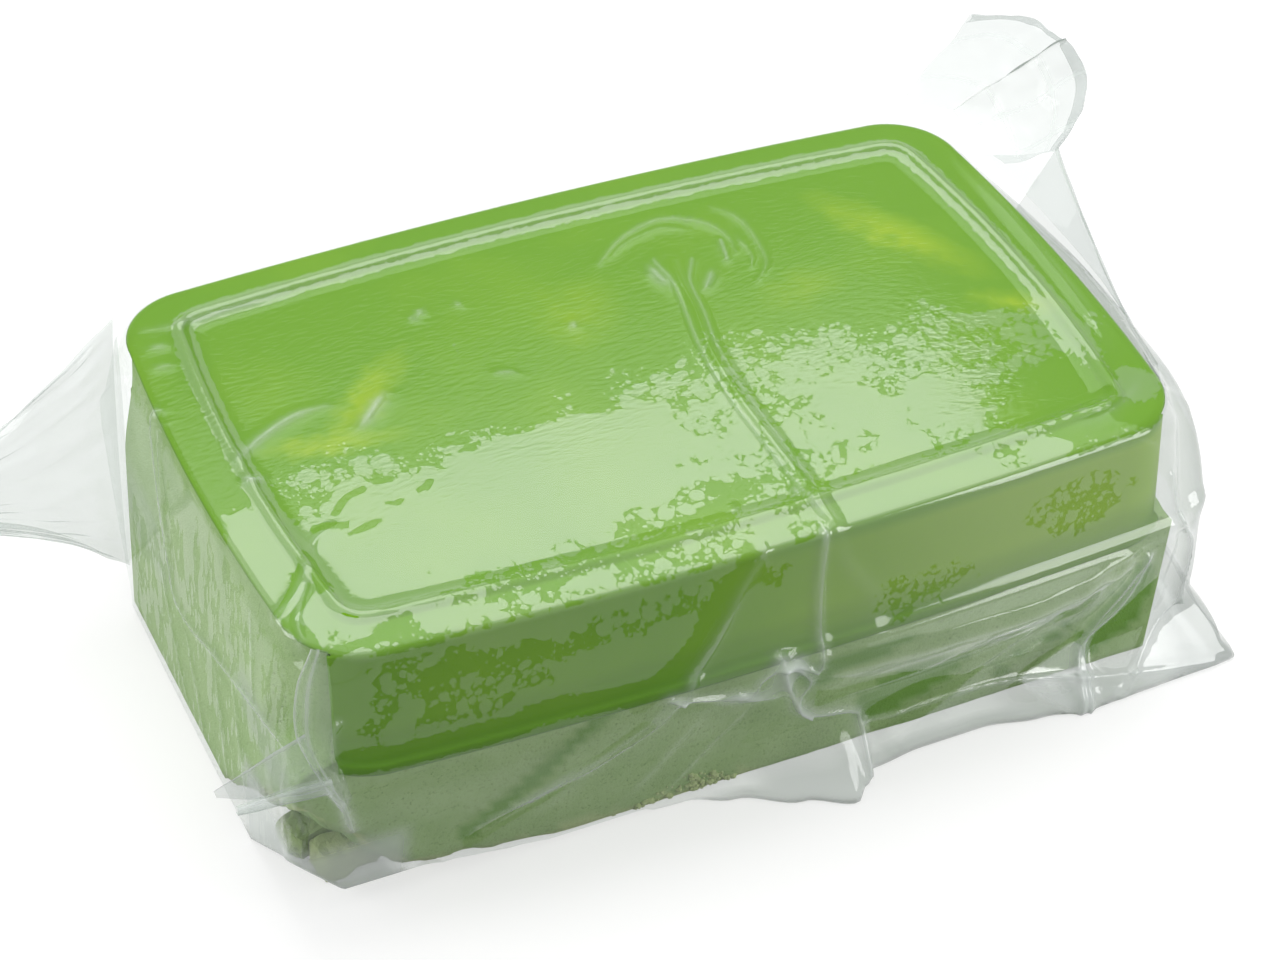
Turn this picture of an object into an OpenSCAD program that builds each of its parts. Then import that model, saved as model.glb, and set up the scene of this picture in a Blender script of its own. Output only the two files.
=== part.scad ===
// Floral foam block in an upturned plastic tray, wrapped together in clear film.
// X runs along the block, Y from its front to its back and Z upwards.
// The origin is on the floor, under the middle of the block.

/* [Foam block] */
// Length of the block
foam_l = 230; // [200:5:260]
// Width of the block
foam_w = 110; // [95:1:120]
// Height of the block
foam_h = 80; // [65:1:95]
// How far the broken corner reaches along the block
break_x = 30; // [20:1:40]
// How far the broken corner reaches across the block
break_y = 44; // [30:1:48]
// How far the broken corner reaches up the block
break_z = 34; // [24:1:42]
// How hollow the break is, where 1 is flat
break_deep = 1.35; // [1.1:0.05:1.6]

/* [Loose chips] */
// Length of the largest chip
chip_l = 13; // [8:0.5:14]
// Width of the largest chip
chip_w = 9; // [6:0.5:10]
// Height of the largest chip
chip_h = 7; // [4:0.5:8]
// Space from the chips to the film wall and to each other
chip_gap = 2; // [1:0.5:3]

/* [Tray] */
// Space between the block's front face and the tray's front wall at its ends
front_gap = 0.4; // [0.4:0.1:3]
// Space between the block's back face and the tray's back wall at its ends
back_gap = 16.8; // [2:0.2:24]
// How far the block shows past the tray at the middle of each end
end_show = 0.5; // [0:0.1:3]
// How far the long sides bow out
bow_long = 4; // [1:0.5:6]
// How far the ends bow out
bow_end = 4; // [1:0.5:6]
// Corner radius of the tray's base
corner_r = 17; // [12:0.5:22]
// Thickness of the walls
tray_wall = 1.2; // [0.8:0.1:2]
// Thickness of the base
tray_base = 1.4; // [1:0.1:2.5]
// Height of the long walls, with the base
tray_depth = 31.5; // [20:0.5:40]
// How far the long walls lean out over their height
flare = 5; // [2:0.5:8]
// How far the walls stop short of the tray's ends
wall_stop = 8.5; // [6:0.5:20]
// Radius round the base's outer edge
edge_r = 2; // [1:0.25:3]
// Height of the rim band
rim_h = 3; // [2:0.25:5]
// How far the rim band stands out
rim_out = 1.3; // [0.6:0.1:2]
// Width of the raised foot bead
foot_w = 3.2; // [2:0.2:5]
// Height of the raised foot bead
foot_h = 1.2; // [0.6:0.1:2]
// Distance from the long sides to the foot bead
foot_side = 8.6; // [6:0.2:14]
// Distance from the ends to the foot bead
foot_end = 10.6; // [6:0.2:14]
// How far the panel inside the bead is sunk
panel_drop = 0.4; // [0.2:0.1:0.8]

/* [Film] */
// Thickness of the film as modelled
film_t = 0.4; // [0.3:0.05:0.6]
// Space between the film and what it wraps
film_gap = 0.35; // [0.3:0.05:0.6]
// Gap between the film's two edges at the lap under the block
lap_gap = 0.6; // [0.4:0.1:1.5]
// Distance from the lap's ends to the block's ends
lap_end = 20; // [10:1:40]
// How far the lap lies behind the block's middle
lap_back = 18; // [10:1:35]
// Corner radius of the film at the rim
film_r = 9; // [6:0.5:12]
// Corner radius of the film at the floor
film_foot_r = 1; // [0.6:0.1:1.1]
// Thickness of the gathered seals at the two ends
seal_t = 1.6; // [1:0.2:3]
// How far the left seal stands out
left_seal = 50; // [30:1:60]
// Height of the left seal where it leaves the wrap
left_seal_h = 70; // [50:1:74]
// Height of the left seal's free end
left_seal_tip = 12; // [6:1:24]
// How far the right seal stands out
right_seal = 42; // [25:1:55]
// How far the right seal rises over the wrap
right_seal_rise = 27; // [10:1:35]
// How far the film bows out along the block's sides at the floor
film_bow = 0.6; // [0.4:0.1:3]
// How far the pinched fold at the front left corner stands out
corner_fold = 18; // [8:1:24]
// How far the hem lies out on the floor in front
hem_front = 14; // [6:1:20]
// How far the hem lies out on the floor at the right
hem_right = 22; // [6:1:30]
// How far the hem reaches in under the wrap
hem_tuck = 4; // [2:0.5:8]

/* [Hidden] */

// Segments along a bowed side, and round a corner
SIDE_N = 12;
CORNER_N = 6;
// Overlap that keeps cuts and joins clean
EPS = 0.02;
// Room that the block's crushed top corners leave inside the tray walls
corner_clear = 0.4;

// Heights, from the floor up
foam_z = film_t;
base_z = foam_z + foam_h;
tray_top = base_z + tray_base;
rim_z = tray_top - tray_depth;
foot_z = tray_top + foot_h;
film_top = foot_z + film_gap + film_t;

// Outer half sizes of the tray's base where its bowed sides would meet
base_a = foam_l / 2 - end_show - bow_end;
base_b = (foam_w + front_gap + back_gap) / 2 + tray_wall;
// The tray sits back from the middle of the block
tray_y = (back_gap - front_gap) / 2;
// Half the length that the long walls cover
wall_a = base_a + bow_end - wall_stop;

// Distance of a bowed side from the middle, at t along it
function bowed(t, half, reach, bow) = reach + bow * (1 - pow(t / half, 2));

// One quarter turn of corner points, from angle a0, with unlike reaches
function corner(cx, cy, rx, ry, a0) =
    [for (i = [0 : CORNER_N]) let (t = a0 + 90 * i / CORNER_N) [cx + rx * cos(t), cy + ry * sin(t)]];

// A rectangle with bowed sides and round corners, anticlockwise from front left
function outline(a, b, bl, be, r) =
    let (cx = a - r, cy = b - r,
         rx = bowed(cy, b, a, be) - cx, ry = bowed(cx, a, b, bl) - cy)
    concat(
        [for (i = [1 : SIDE_N - 1]) let (x = cx * (2 * i / SIDE_N - 1)) [x, -bowed(x, a, b, bl)]],
        corner(cx, -cy, rx, ry, 270),
        [for (i = [1 : SIDE_N - 1]) let (y = cy * (2 * i / SIDE_N - 1)) [bowed(y, b, a, be), y]],
        corner(cx, cy, rx, ry, 0),
        [for (i = [1 : SIDE_N - 1]) let (x = cx * (1 - 2 * i / SIDE_N)) [x, bowed(x, a, b, bl)]],
        corner(-cx, cy, rx, ry, 90),
        [for (i = [1 : SIDE_N - 1]) let (y = cy * (1 - 2 * i / SIDE_N)) [-bowed(y, b, a, be), y]],
        corner(-cx, -cy, rx, ry, 180)
    );

// The tray's outline, grown outwards by side and by end
function tray_ring(z, side, end) =
    [for (p = outline(base_a + end, base_b + side, bow_long, bow_end, corner_r + min(side, end)))
        [p.x, p.y + tray_y, z]];

// A film outline from half sizes, a middle and a corner radius
function film_ring(z, a, b, y, r, bow) = [for (p = outline(a, b, bow, 1, r)) [p.x, p.y + y, z]];

// A solid skinned over a stack of outlines that have the same number of points
module loft(rings) {
    n = len(rings[0]);
    m = len(rings);
    polyhedron(
        points = [for (ring = rings) for (p = ring) p],
        faces = concat(
            [[for (i = [0 : n - 1]) i]],
            [for (k = [0 : m - 2]) for (i = [0 : n - 1]) let (j = (i + 1) % n)
                each [[k * n + i, (k + 1) * n + i, (k + 1) * n + j],
                      [k * n + i, (k + 1) * n + j, k * n + j]]],
            [[for (i = [n - 1 : -1 : 0]) (m - 1) * n + i]]
        ),
        convexity = 6
    );
}

// A flat piece standing on edge at y, from outline points given as [x, z]
module standing(y, t, points) {
    translate([0, y + t / 2, 0]) rotate([90, 0, 0]) linear_extrude(t) polygon(points);
}

module tray_outside() {
    loft([
        tray_ring(rim_z, flare + rim_out, rim_out),
        tray_ring(rim_z + rim_h - rim_out / 2, flare + rim_out, rim_out),
        tray_ring(rim_z + rim_h, flare * (1 - rim_h / tray_depth), 0),
        tray_ring(tray_top - edge_r, flare * edge_r / tray_depth, 0),
        tray_ring(tray_top - edge_r * 0.3, -edge_r * 0.3, -edge_r * 0.3),
        tray_ring(tray_top, -edge_r, -edge_r)
    ]);
}

module tray_inside() {
    loft([
        tray_ring(rim_z - EPS, flare - tray_wall, -tray_wall),
        tray_ring(base_z, -tray_wall, -tray_wall)
    ]);
}

// The raised foot bead, which the tray stands on when it is the right way up
module foot_bead() {
    difference() {
        loft([
            tray_ring(tray_top - panel_drop - EPS, -foot_side, -foot_end),
            tray_ring(tray_top + foot_h / 2, -foot_side, -foot_end),
            tray_ring(foot_z, -foot_side - foot_h / 2, -foot_end - foot_h / 2)
        ]);
        loft([
            tray_ring(tray_top - panel_drop, -foot_side - foot_w, -foot_end - foot_w),
            tray_ring(tray_top + foot_h / 2, -foot_side - foot_w, -foot_end - foot_w),
            tray_ring(foot_z + EPS, -foot_side - foot_w + foot_h / 2, -foot_end - foot_w + foot_h / 2)
        ]);
    }
}

// Everything under the base past the ends of the long walls
module open_ends() {
    for (side = [-1, 1])
        translate([side * (wall_a + foam_l / 2), tray_y, rim_z - 1 + (tray_depth - tray_base + 1) / 2])
            cube([foam_l, 2 * (base_b + bow_long + flare + rim_out) + 2, tray_depth - tray_base + 1],
                 center = true);
}

module tray() {
    color([0.46, 0.66, 0.26])
    difference() {
        union() {
            tray_outside();
            foot_bead();
        }
        tray_inside();
        open_ends();
        loft([
            tray_ring(tray_top - panel_drop, -foot_side - foot_w, -foot_end - foot_w),
            tray_ring(foot_z + 1, -foot_side - foot_w, -foot_end - foot_w)
        ]);
    }
}

// Plan of the block inside the tray, where the tray's corners have crushed it
module crushed_plan() {
    hull() {
        intersection() {
            square([foam_l, foam_w], center = true);
            translate([0, tray_y])
                polygon(outline(base_a - tray_wall - corner_clear, base_b - tray_wall - corner_clear,
                                bow_long, bow_end, corner_r - tray_wall));
        }
        translate([0, tray_y])
            intersection() {
                square([foam_l, 2 * (base_b - corner_r)], center = true);
                translate([0, -tray_y]) square([foam_l, foam_w], center = true);
            }
    }
}

// The broken corner, a hollow break that meets the block's three edges
module broken_corner() {
    translate([-foam_l / 2, -foam_w / 2, foam_z])
        polyhedron(
            points = [[-1, -1, -1], [break_x, -1, -1], [-1, break_y, -1], [-1, -1, break_z],
                      [break_x, break_y, break_z] * break_deep / 3],
            faces = [[0, 1, 2], [0, 3, 1], [0, 2, 3], [1, 3, 4], [3, 2, 4], [2, 1, 4]]
        );
}

// What the tray's corners have crushed away from the block's top
module crushed_corners() {
    translate([0, 0, rim_z])
        linear_extrude(foam_h)
            difference() {
                square([foam_l + 2, foam_w + 2], center = true);
                offset(delta = EPS) crushed_plan();
                translate([-foam_l, 0]) square([2 * foam_l, foam_w]);
            }
}

module foam_brick() {
    color([0.55, 0.62, 0.42])
    difference() {
        translate([-foam_l / 2, -foam_w / 2, foam_z]) cube([foam_l, foam_w, foam_h]);
        crushed_corners();
        broken_corner();
    }
}

// A crumbled lump of foam, flat where it lies
module chip(size, turn) {
    translate([0, 0, film_t])
        intersection() {
            translate([0, 0, size.z / 2]) cube(size, center = true);
            translate([0, 0, size.z * 0.45]) rotate([14, 22, turn]) cube(size * 0.95, center = true);
        }
}

// Three lumps that lie where the corner broke away
module foam_chips() {
    size = [chip_l, chip_w, chip_h];
    left = -foam_l / 2 + chip_gap;
    front = -foam_w / 2 + chip_gap;
    color([0.6, 0.66, 0.45]) {
        translate([left + chip_w / 2, front + chip_l, 0]) rotate([0, 0, 90]) chip(size, 20);
        translate([left + chip_w + chip_gap, front + chip_l / 4, 0]) chip(size * 0.5, 65);
        translate([left + chip_w / 4, front + chip_w / 4, 0]) chip(size * 0.35, 100);
    }
}

// The wrap drawn tight over the tray and the block, grown outwards by g
module film_body(g) {
    end_a = foam_l / 2 + film_gap + g;
    foot_b = foam_w / 2 + film_gap + g;
    rim_b = base_b + flare + rim_out + film_gap + g;
    top_b = base_b + film_gap + g;
    loft([
        film_ring(film_t - g, end_a, foot_b, 0, film_foot_r, film_bow),
        film_ring(rim_z - 1, end_a + rim_out, rim_b, tray_y, film_r, bow_long),
        film_ring(rim_z + rim_h + 1, end_a + rim_out, rim_b, tray_y, film_r, bow_long),
        film_ring(tray_top - edge_r, end_a, top_b + flare * 0.1, tray_y, film_r, bow_long),
        film_ring(foot_z + film_gap + g, end_a - edge_r, top_b - edge_r / 2, tray_y, film_r, bow_long)
    ]);
}

// The hem that lies out on the floor in front of the wrap and at its right
module hem() {
    front = -foam_w / 2 - film_gap - film_t;
    right = foam_l / 2 + film_gap + film_t;
    linear_extrude(film_t)
        polygon([
            [-8, front + hem_tuck],
            [24, front - hem_front],
            [70, front - hem_front / 3],
            [right - 8, front - hem_front * 0.7],
            [right + hem_right, front + hem_tuck],
            [right + hem_right, front + 30],
            [right - hem_tuck, front + 45],
            [right - hem_tuck, front + hem_tuck]
        ]);
}

// The gathered seal at the left end, drawn to a narrow tip
module left_end_seal() {
    x0 = -foam_l / 2;
    top = film_top - film_gap;
    mid = top - left_seal_h * 0.4;
    standing(foam_w / 2, seal_t, [
        [x0 + 2, top - 4],
        [x0 - left_seal * 0.45, top - 12],
        [x0 - left_seal, mid + left_seal_tip / 2],
        [x0 - left_seal, mid - left_seal_tip / 2],
        [x0 - left_seal * 0.5, mid - left_seal_tip],
        [x0 + 2, top - left_seal_h]
    ]);
}

// The gathered seal at the right end, which stands up past the back corner
module right_end_seal() {
    x0 = foam_l / 2;
    standing(foam_w / 2 + tray_y / 2, seal_t * 2, [
        [x0 - 4, rim_z + 8],
        [x0 + right_seal * 0.75, rim_z + 14],
        [x0 + right_seal, rim_z + 28],
        [x0 + right_seal * 0.95, film_top + 8],
        [x0 + right_seal * 0.7, film_top + right_seal_rise * 0.75],
        [x0 + right_seal * 0.3, film_top + right_seal_rise],
        [x0 - 4, film_top + right_seal_rise * 0.8],
        [x0 - 9, film_top - 2]
    ]);
}

// The fold pinched at the front left corner
module corner_pinch() {
    x0 = -foam_l / 2;
    standing(-foam_w / 2 - film_gap, film_t * 2, [
        [x0 + 4, tray_top - 2],
        [x0 - corner_fold * 0.2, tray_top - 6],
        [x0 - corner_fold * 0.15, rim_z + 12],
        [x0 - corner_fold, rim_z + 1],
        [x0 + 4, rim_z - 4]
    ]);
}

// The line under the block where the film's two edges meet
module lap() {
    translate([0, lap_back, film_t / 2])
        cube([foam_l - 2 * lap_end, lap_gap, 2 * film_t], center = true);
}

module film_wrap() {
    color([0.82, 0.9, 0.8, 0.4])
    difference() {
        union() {
            film_body(film_t);
            hem();
            left_end_seal();
            right_end_seal();
            corner_pinch();
        }
        film_body(0);
        lap();
    }
}

tray();
foam_brick();
foam_chips();
film_wrap();
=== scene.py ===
import logging
import math
from dataclasses import dataclass
from enum import Enum
from typing import Callable, Optional, Sequence

import bmesh
import bpy
import numpy as np
from mathutils import Matrix, Vector


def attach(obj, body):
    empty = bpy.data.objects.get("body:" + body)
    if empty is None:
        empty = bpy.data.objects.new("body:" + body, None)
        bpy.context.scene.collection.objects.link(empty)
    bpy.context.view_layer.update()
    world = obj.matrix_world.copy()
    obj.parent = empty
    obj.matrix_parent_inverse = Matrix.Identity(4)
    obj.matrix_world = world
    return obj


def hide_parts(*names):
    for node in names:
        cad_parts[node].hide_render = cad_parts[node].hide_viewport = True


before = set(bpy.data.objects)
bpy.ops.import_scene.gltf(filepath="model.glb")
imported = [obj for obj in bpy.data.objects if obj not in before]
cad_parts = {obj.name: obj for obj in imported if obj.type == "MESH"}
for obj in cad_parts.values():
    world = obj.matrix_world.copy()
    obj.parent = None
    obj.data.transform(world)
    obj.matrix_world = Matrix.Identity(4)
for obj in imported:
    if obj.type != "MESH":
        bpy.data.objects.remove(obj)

# A floral foam block under its upturned plastic tray, wrapped in clear film.
# Sizes are millimetres on the classes below; meshes are built in metres.
# X runs along the block, Y from its front to its back, Z up from the floor.

log = logging.getLogger("wrapped_foam")
MM = 0.001
BODY = "root"
IMAGE_WIDTH = 1280

Array = np.ndarray
BMesh = bmesh.types.BMesh
Material = bpy.types.Material
Mesh = bpy.types.Mesh
Object = bpy.types.Object
Socket = bpy.types.NodeSocket
Tree = bpy.types.NodeTree
Point = tuple[float, float, float]
Line = Sequence[tuple[float, float]]


# ---------------------------------------------------------------- helpers


def linear(hex_colour: str) -> tuple[float, float, float, float]:
    """Turns an sRGB colour into the linear colour that a shader takes.

    Args:
        hex_colour: Six hex digits, such as "7FA34B".

    Returns:
        Linear red, green and blue with an alpha of 1.
    """
    out = []
    for i in (0, 2, 4):
        c = int(hex_colour[i:i + 2], 16) / 255
        out.append(c / 12.92 if c <= 0.04045 else ((c + 0.055) / 1.055) ** 2.4)
    return (out[0], out[1], out[2], 1.0)


def smooth(t: Array) -> Array:
    """Returns t eased from 0 to 1 with flat ends."""
    t = np.clip(t, 0.0, 1.0)
    return t * t * (3 - 2 * t)


def value_noise(points: Array, size: float, seed: int) -> Array:
    """Smooth noise from -1 to 1 at each point.

    Args:
        points: Rows of x, y, z.
        size: Distance between the noise's lattice points, in the points' unit.
        seed: Picks the pattern.

    Returns:
        One number for each point.
    """
    p = points / size
    cell = np.floor(p).astype(np.int64)
    part = p - cell
    part = part * part * (3 - 2 * part)
    total = np.zeros(len(p))
    for corner in range(8):
        step = np.array([corner & 1, corner >> 1 & 1, corner >> 2 & 1])
        c = cell + step
        h = c[:, 0] * 73856093 ^ c[:, 1] * 19349663 ^ c[:, 2] * 83492791 ^ seed * 40503
        h = (h ^ (h >> 13)) * 1274126177 & 0x7FFFFFFF
        h = (h ^ (h >> 16)) * 668265263 & 0x7FFFFFFF
        weight = np.prod(np.where(step == 1, part, 1 - part), axis=1)
        total += weight * ((h % 65536) / 32768 - 1)
    return total


def polyline_distance(points: Array, line: Array) -> tuple[Array, Array]:
    """Distance from each point to a polyline.

    Args:
        points: Rows of coordinates.
        line: Rows of the polyline's corners, with as many columns.

    Returns:
        The distance, and how far along the line the nearest place is, from 0 to 1.
    """
    best = np.full(len(points), 1e9)
    along = np.zeros(len(points))
    lengths = np.linalg.norm(np.diff(line, axis=0), axis=1)
    start = np.concatenate(([0.0], np.cumsum(lengths)))
    for k, length in enumerate(lengths):
        way = (line[k + 1] - line[k]) / length
        t = np.clip((points - line[k]) @ way, 0.0, length)
        gap = np.linalg.norm(points - line[k] - t[:, None] * way, axis=1)
        near = gap < best
        best[near] = gap[near]
        along[near] = (start[k] + t[near]) / start[-1]
    return best, along


def rounded(line: Sequence[Sequence[float]], steps: int = 6) -> Array:
    """Runs a smooth curve through the corners of a polyline.

    Args:
        line: The corners.
        steps: Pieces that each stretch between two corners is cut into.

    Returns:
        Rows of points along the curve.
    """
    p = np.array(line, dtype=float)
    p = np.vstack([2 * p[0] - p[1], p, 2 * p[-1] - p[-2]])
    out = []
    for k in range(1, len(p) - 2):
        a, b, c, d = p[k - 1], p[k], p[k + 1], p[k + 2]
        for t in np.arange(steps) / steps:
            out.append(0.5 * (2 * b + (c - a) * t + (2 * a - 5 * b + 4 * c - d) * t ** 2
                              + (3 * b - a - 3 * c + d) * t ** 3))
    out.append(p[-2])
    return np.array(out)


def along_curve(t: Array, keys: Line) -> Array:
    """Reads a smooth curve at each place t.

    Args:
        t: The places to read.
        keys: The curve's places, each with its value.

    Returns:
        The curve's value at each place.
    """
    places = np.array([k[0] for k in keys], dtype=float)
    values = np.array([k[1] for k in keys], dtype=float)
    i = np.clip(np.searchsorted(places, t) - 1, 0, len(places) - 2)
    f = smooth((t - places[i]) / (places[i + 1] - places[i]))
    return values[i] + (values[i + 1] - values[i]) * f


def coordinates(mesh: Mesh) -> Array:
    """Reads where a mesh's vertices are.

    Args:
        mesh: The mesh.

    Returns:
        Rows of x, y, z in millimetres.
    """
    flat = np.empty(len(mesh.vertices) * 3)
    mesh.vertices.foreach_get("co", flat)
    return flat.reshape(-1, 3) / MM


def move_vertices(mesh: Mesh, points: Array) -> None:
    """Puts a mesh's vertices at rows of x, y, z in millimetres."""
    mesh.vertices.foreach_set("co", (points * MM).ravel())
    mesh.update()


def vertex_normals(mesh: Mesh) -> Array:
    """Reads which way a mesh's vertices face.

    Args:
        mesh: The mesh.

    Returns:
        Rows of unit vectors.
    """
    flat = np.empty(len(mesh.vertices) * 3)
    mesh.vertices.foreach_get("normal", flat)
    return flat.reshape(-1, 3)


def paint(mesh: Mesh, name: str, values: Array) -> None:
    """Stores one number for each vertex under a name that a finish reads."""
    layer = mesh.attributes.new(name, "FLOAT", "POINT")
    layer.data.foreach_set("value", values.astype(np.float32))


def paint_even(mesh: Mesh, **values: float) -> None:
    """Stores the same number for every vertex, under each name given."""
    for name, value in values.items():
        paint(mesh, name, np.full(len(mesh.vertices), value))


def finish_piece(
    bm: BMesh,
    name: str,
    material: Material,
    smooth_faces: bool = True,
) -> Object:
    """Turns a bmesh into a piece of the object that rides on its body.

    Args:
        bm: The mesh in metres, which is freed.
        name: The piece's name.
        material: The material that it wears.
        smooth_faces: Whether the faces are shaded smooth.

    Returns:
        The new object.
    """
    for face in bm.faces:
        face.smooth = smooth_faces
    mesh = bpy.data.meshes.new(name)
    bm.to_mesh(mesh)
    bm.free()
    mesh.materials.append(material)
    piece = bpy.data.objects.new(name, mesh)
    bpy.context.scene.collection.objects.link(piece)
    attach(piece, BODY)
    log.info("%s: %d faces", name, len(mesh.polygons))
    return piece


# ---------------------------------------------------------------- outlines


class Stretch(Enum):
    """The eight stretches of a round-cornered outline, anticlockwise from the front."""

    FRONT = 0
    FRONT_RIGHT = 1
    RIGHT = 2
    BACK_RIGHT = 3
    BACK = 4
    BACK_LEFT = 5
    LEFT = 6
    FRONT_LEFT = 7


@dataclass(frozen=True)
class Outline:
    """A rectangle with bowed sides and round corners, cut into even steps."""

    side_steps: int
    end_steps: int
    corner_steps: int

    def counts(self) -> list[int]:
        """Returns how many steps each of the eight stretches has."""
        s, e, c = self.side_steps, self.end_steps, self.corner_steps
        return [s, c, e, c, s, c, e, c]

    def total(self) -> int:
        """Returns how many steps go once round."""
        return sum(self.counts())

    def places(self) -> tuple[Array, Array]:
        """Lists the steps' places.

        Returns:
            The stretch that each step starts in, and how far along it from 0 to 1.
        """
        kind, t = [], []
        for number, count in enumerate(self.counts()):
            kind += [number] * count
            t += [k / count for k in range(count)]
        return np.array(kind), np.array(t)

    @staticmethod
    def at(kind: Array, t: Array, a: Array, b: Array, bow_a: Array, bow_b: Array,
           r: Array) -> tuple[Array, Array]:
        """Places points on outlines.

        Args:
            kind: The stretch of each point.
            t: How far along its stretch each point is.
            a: Half length to where the bowed ends start.
            b: Half width to where the bowed sides start.
            bow_a: How far the ends bow out.
            bow_b: How far the sides bow out.
            r: Corner radius.

        Returns:
            The x and the y of each point.
        """
        cx, cy = a - r, b - r
        rx = a + bow_a * (1 - (cy / b) ** 2) - cx
        ry = b + bow_b * (1 - (cx / a) ** 2) - cy
        x, y = np.zeros_like(t), np.zeros_like(t)
        run = 2 * t - 1
        for stretch in Stretch:
            m = kind == stretch.value
            if stretch in (Stretch.FRONT, Stretch.BACK):
                sign = -1 if stretch is Stretch.FRONT else 1
                x[m] = -sign * cx[m] * run[m]
                y[m] = sign * (b[m] + bow_b[m] * (1 - (x[m] / a[m]) ** 2))
            elif stretch in (Stretch.RIGHT, Stretch.LEFT):
                sign = 1 if stretch is Stretch.RIGHT else -1
                y[m] = sign * cy[m] * run[m]
                x[m] = sign * (a[m] + bow_a[m] * (1 - (y[m] / b[m]) ** 2))
            else:
                turn = math.radians(270 + 45 * (stretch.value - 1))
                angle = turn + t[m] * math.pi / 2
                sx = 1 if stretch in (Stretch.FRONT_RIGHT, Stretch.BACK_RIGHT) else -1
                sy = 1 if stretch in (Stretch.BACK_RIGHT, Stretch.BACK_LEFT) else -1
                x[m] = sx * cx[m] + rx[m] * np.cos(angle)
                y[m] = sy * cy[m] + ry[m] * np.sin(angle)
        return x, y


# ---------------------------------------------------------------- sizes


@dataclass(frozen=True)
class Sizes:
    """The driving sizes that the pieces share, in millimetres."""

    foam_l: float = 230
    foam_w: float = 110
    foam_h: float = 80
    foam_z: float = 0.4
    front_gap: float = 0.4
    back_gap: float = 16.8
    end_show: float = 0.5
    bow_long: float = 4
    bow_end: float = 4
    corner_r: float = 17
    tray_wall: float = 1.2
    tray_base: float = 1.4
    tray_depth: float = 31.5
    flare: float = 5
    wall_stop: float = 8.5
    edge_r: float = 2
    rim_h: float = 3
    rim_out: float = 1.3
    foot_w: float = 3.2
    foot_h: float = 1.2
    foot_side: float = 8.6
    foot_end: float = 10.6
    panel_drop: float = 0.4

    @property
    def base_z(self) -> float:
        """Height of the block's top face."""
        return self.foam_z + self.foam_h

    @property
    def tray_top(self) -> float:
        """Height of the tray's base, which faces up."""
        return self.base_z + self.tray_base

    @property
    def rim_z(self) -> float:
        """Height of the long walls' lower edge."""
        return self.tray_top - self.tray_depth

    @property
    def foot_z(self) -> float:
        """Height of the foot bead's crown."""
        return self.tray_top + self.foot_h

    @property
    def base_a(self) -> float:
        """Half length of the tray's base at its corners."""
        return self.foam_l / 2 - self.end_show - self.bow_end

    @property
    def base_b(self) -> float:
        """Half width of the tray's base at its corners."""
        return (self.foam_w + self.front_gap + self.back_gap) / 2 + self.tray_wall

    @property
    def tray_y(self) -> float:
        """How far the tray sits back from the middle of the block."""
        return (self.back_gap - self.front_gap) / 2

    @property
    def wall_a(self) -> float:
        """Half the length that the long walls cover."""
        return self.base_a + self.bow_end - self.wall_stop


SIZES = Sizes()


# ---------------------------------------------------------------- materials


def add_node(tree: Tree, kind: str, links: Optional[dict] = None,
             **settings: object) -> bpy.types.Node:
    """Adds a shader node with its settings and links.

    Args:
        tree: The node tree.
        kind: The node's type, such as "ShaderNodeTexNoise".
        links: Input name or number to a value, or to another node's output socket.
        settings: Properties of the node itself.

    Returns:
        The new node.
    """
    node = tree.nodes.new(kind)
    for key, value in settings.items():
        setattr(node, key, value)
    for key, value in (links or {}).items():
        if isinstance(value, Socket):
            tree.links.new(value, node.inputs[key])
        else:
            node.inputs[key].default_value = value
    return node


def highest(tree: Tree, values: Sequence[Socket]) -> Socket:
    """Finds the highest of several values.

    Args:
        tree: The node tree.
        values: The sockets that give the values.

    Returns:
        A socket with the highest value.
    """
    best = values[0]
    for value in values[1:]:
        best = add_node(tree, "ShaderNodeMath", {0: best, 1: value},
                        operation="MAXIMUM").outputs[0]
    return best


def seen_ray(tree: Tree) -> Socket:
    """Tells what is seen, directly or in a mirror or through glass, from what lights.

    Args:
        tree: The node tree.

    Returns:
        1 for a ray that sees the surface and 0 for one that gathers its light.
    """
    ray = add_node(tree, "ShaderNodeLightPath")
    return highest(tree, [ray.outputs[name] for name in (
        "Is Camera Ray", "Is Glossy Ray", "Is Transmission Ray")])


@dataclass(frozen=True)
class Finish:
    """A material's name and the tree that its own build method fills."""

    name: str

    def make(self) -> Material:
        """Makes the material and has the finish fill its tree.

        Returns:
            The material.
        """
        material = bpy.data.materials.new(self.name)
        material.use_nodes = True
        tree = material.node_tree
        tree.nodes.clear()
        out = add_node(tree, "ShaderNodeOutputMaterial")
        tree.links.new(self.surface(tree), out.inputs["Surface"])
        return material

    def surface(self, tree: Tree) -> Socket:
        """Builds the finish's nodes and returns the shader socket."""
        raise NotImplementedError


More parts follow.
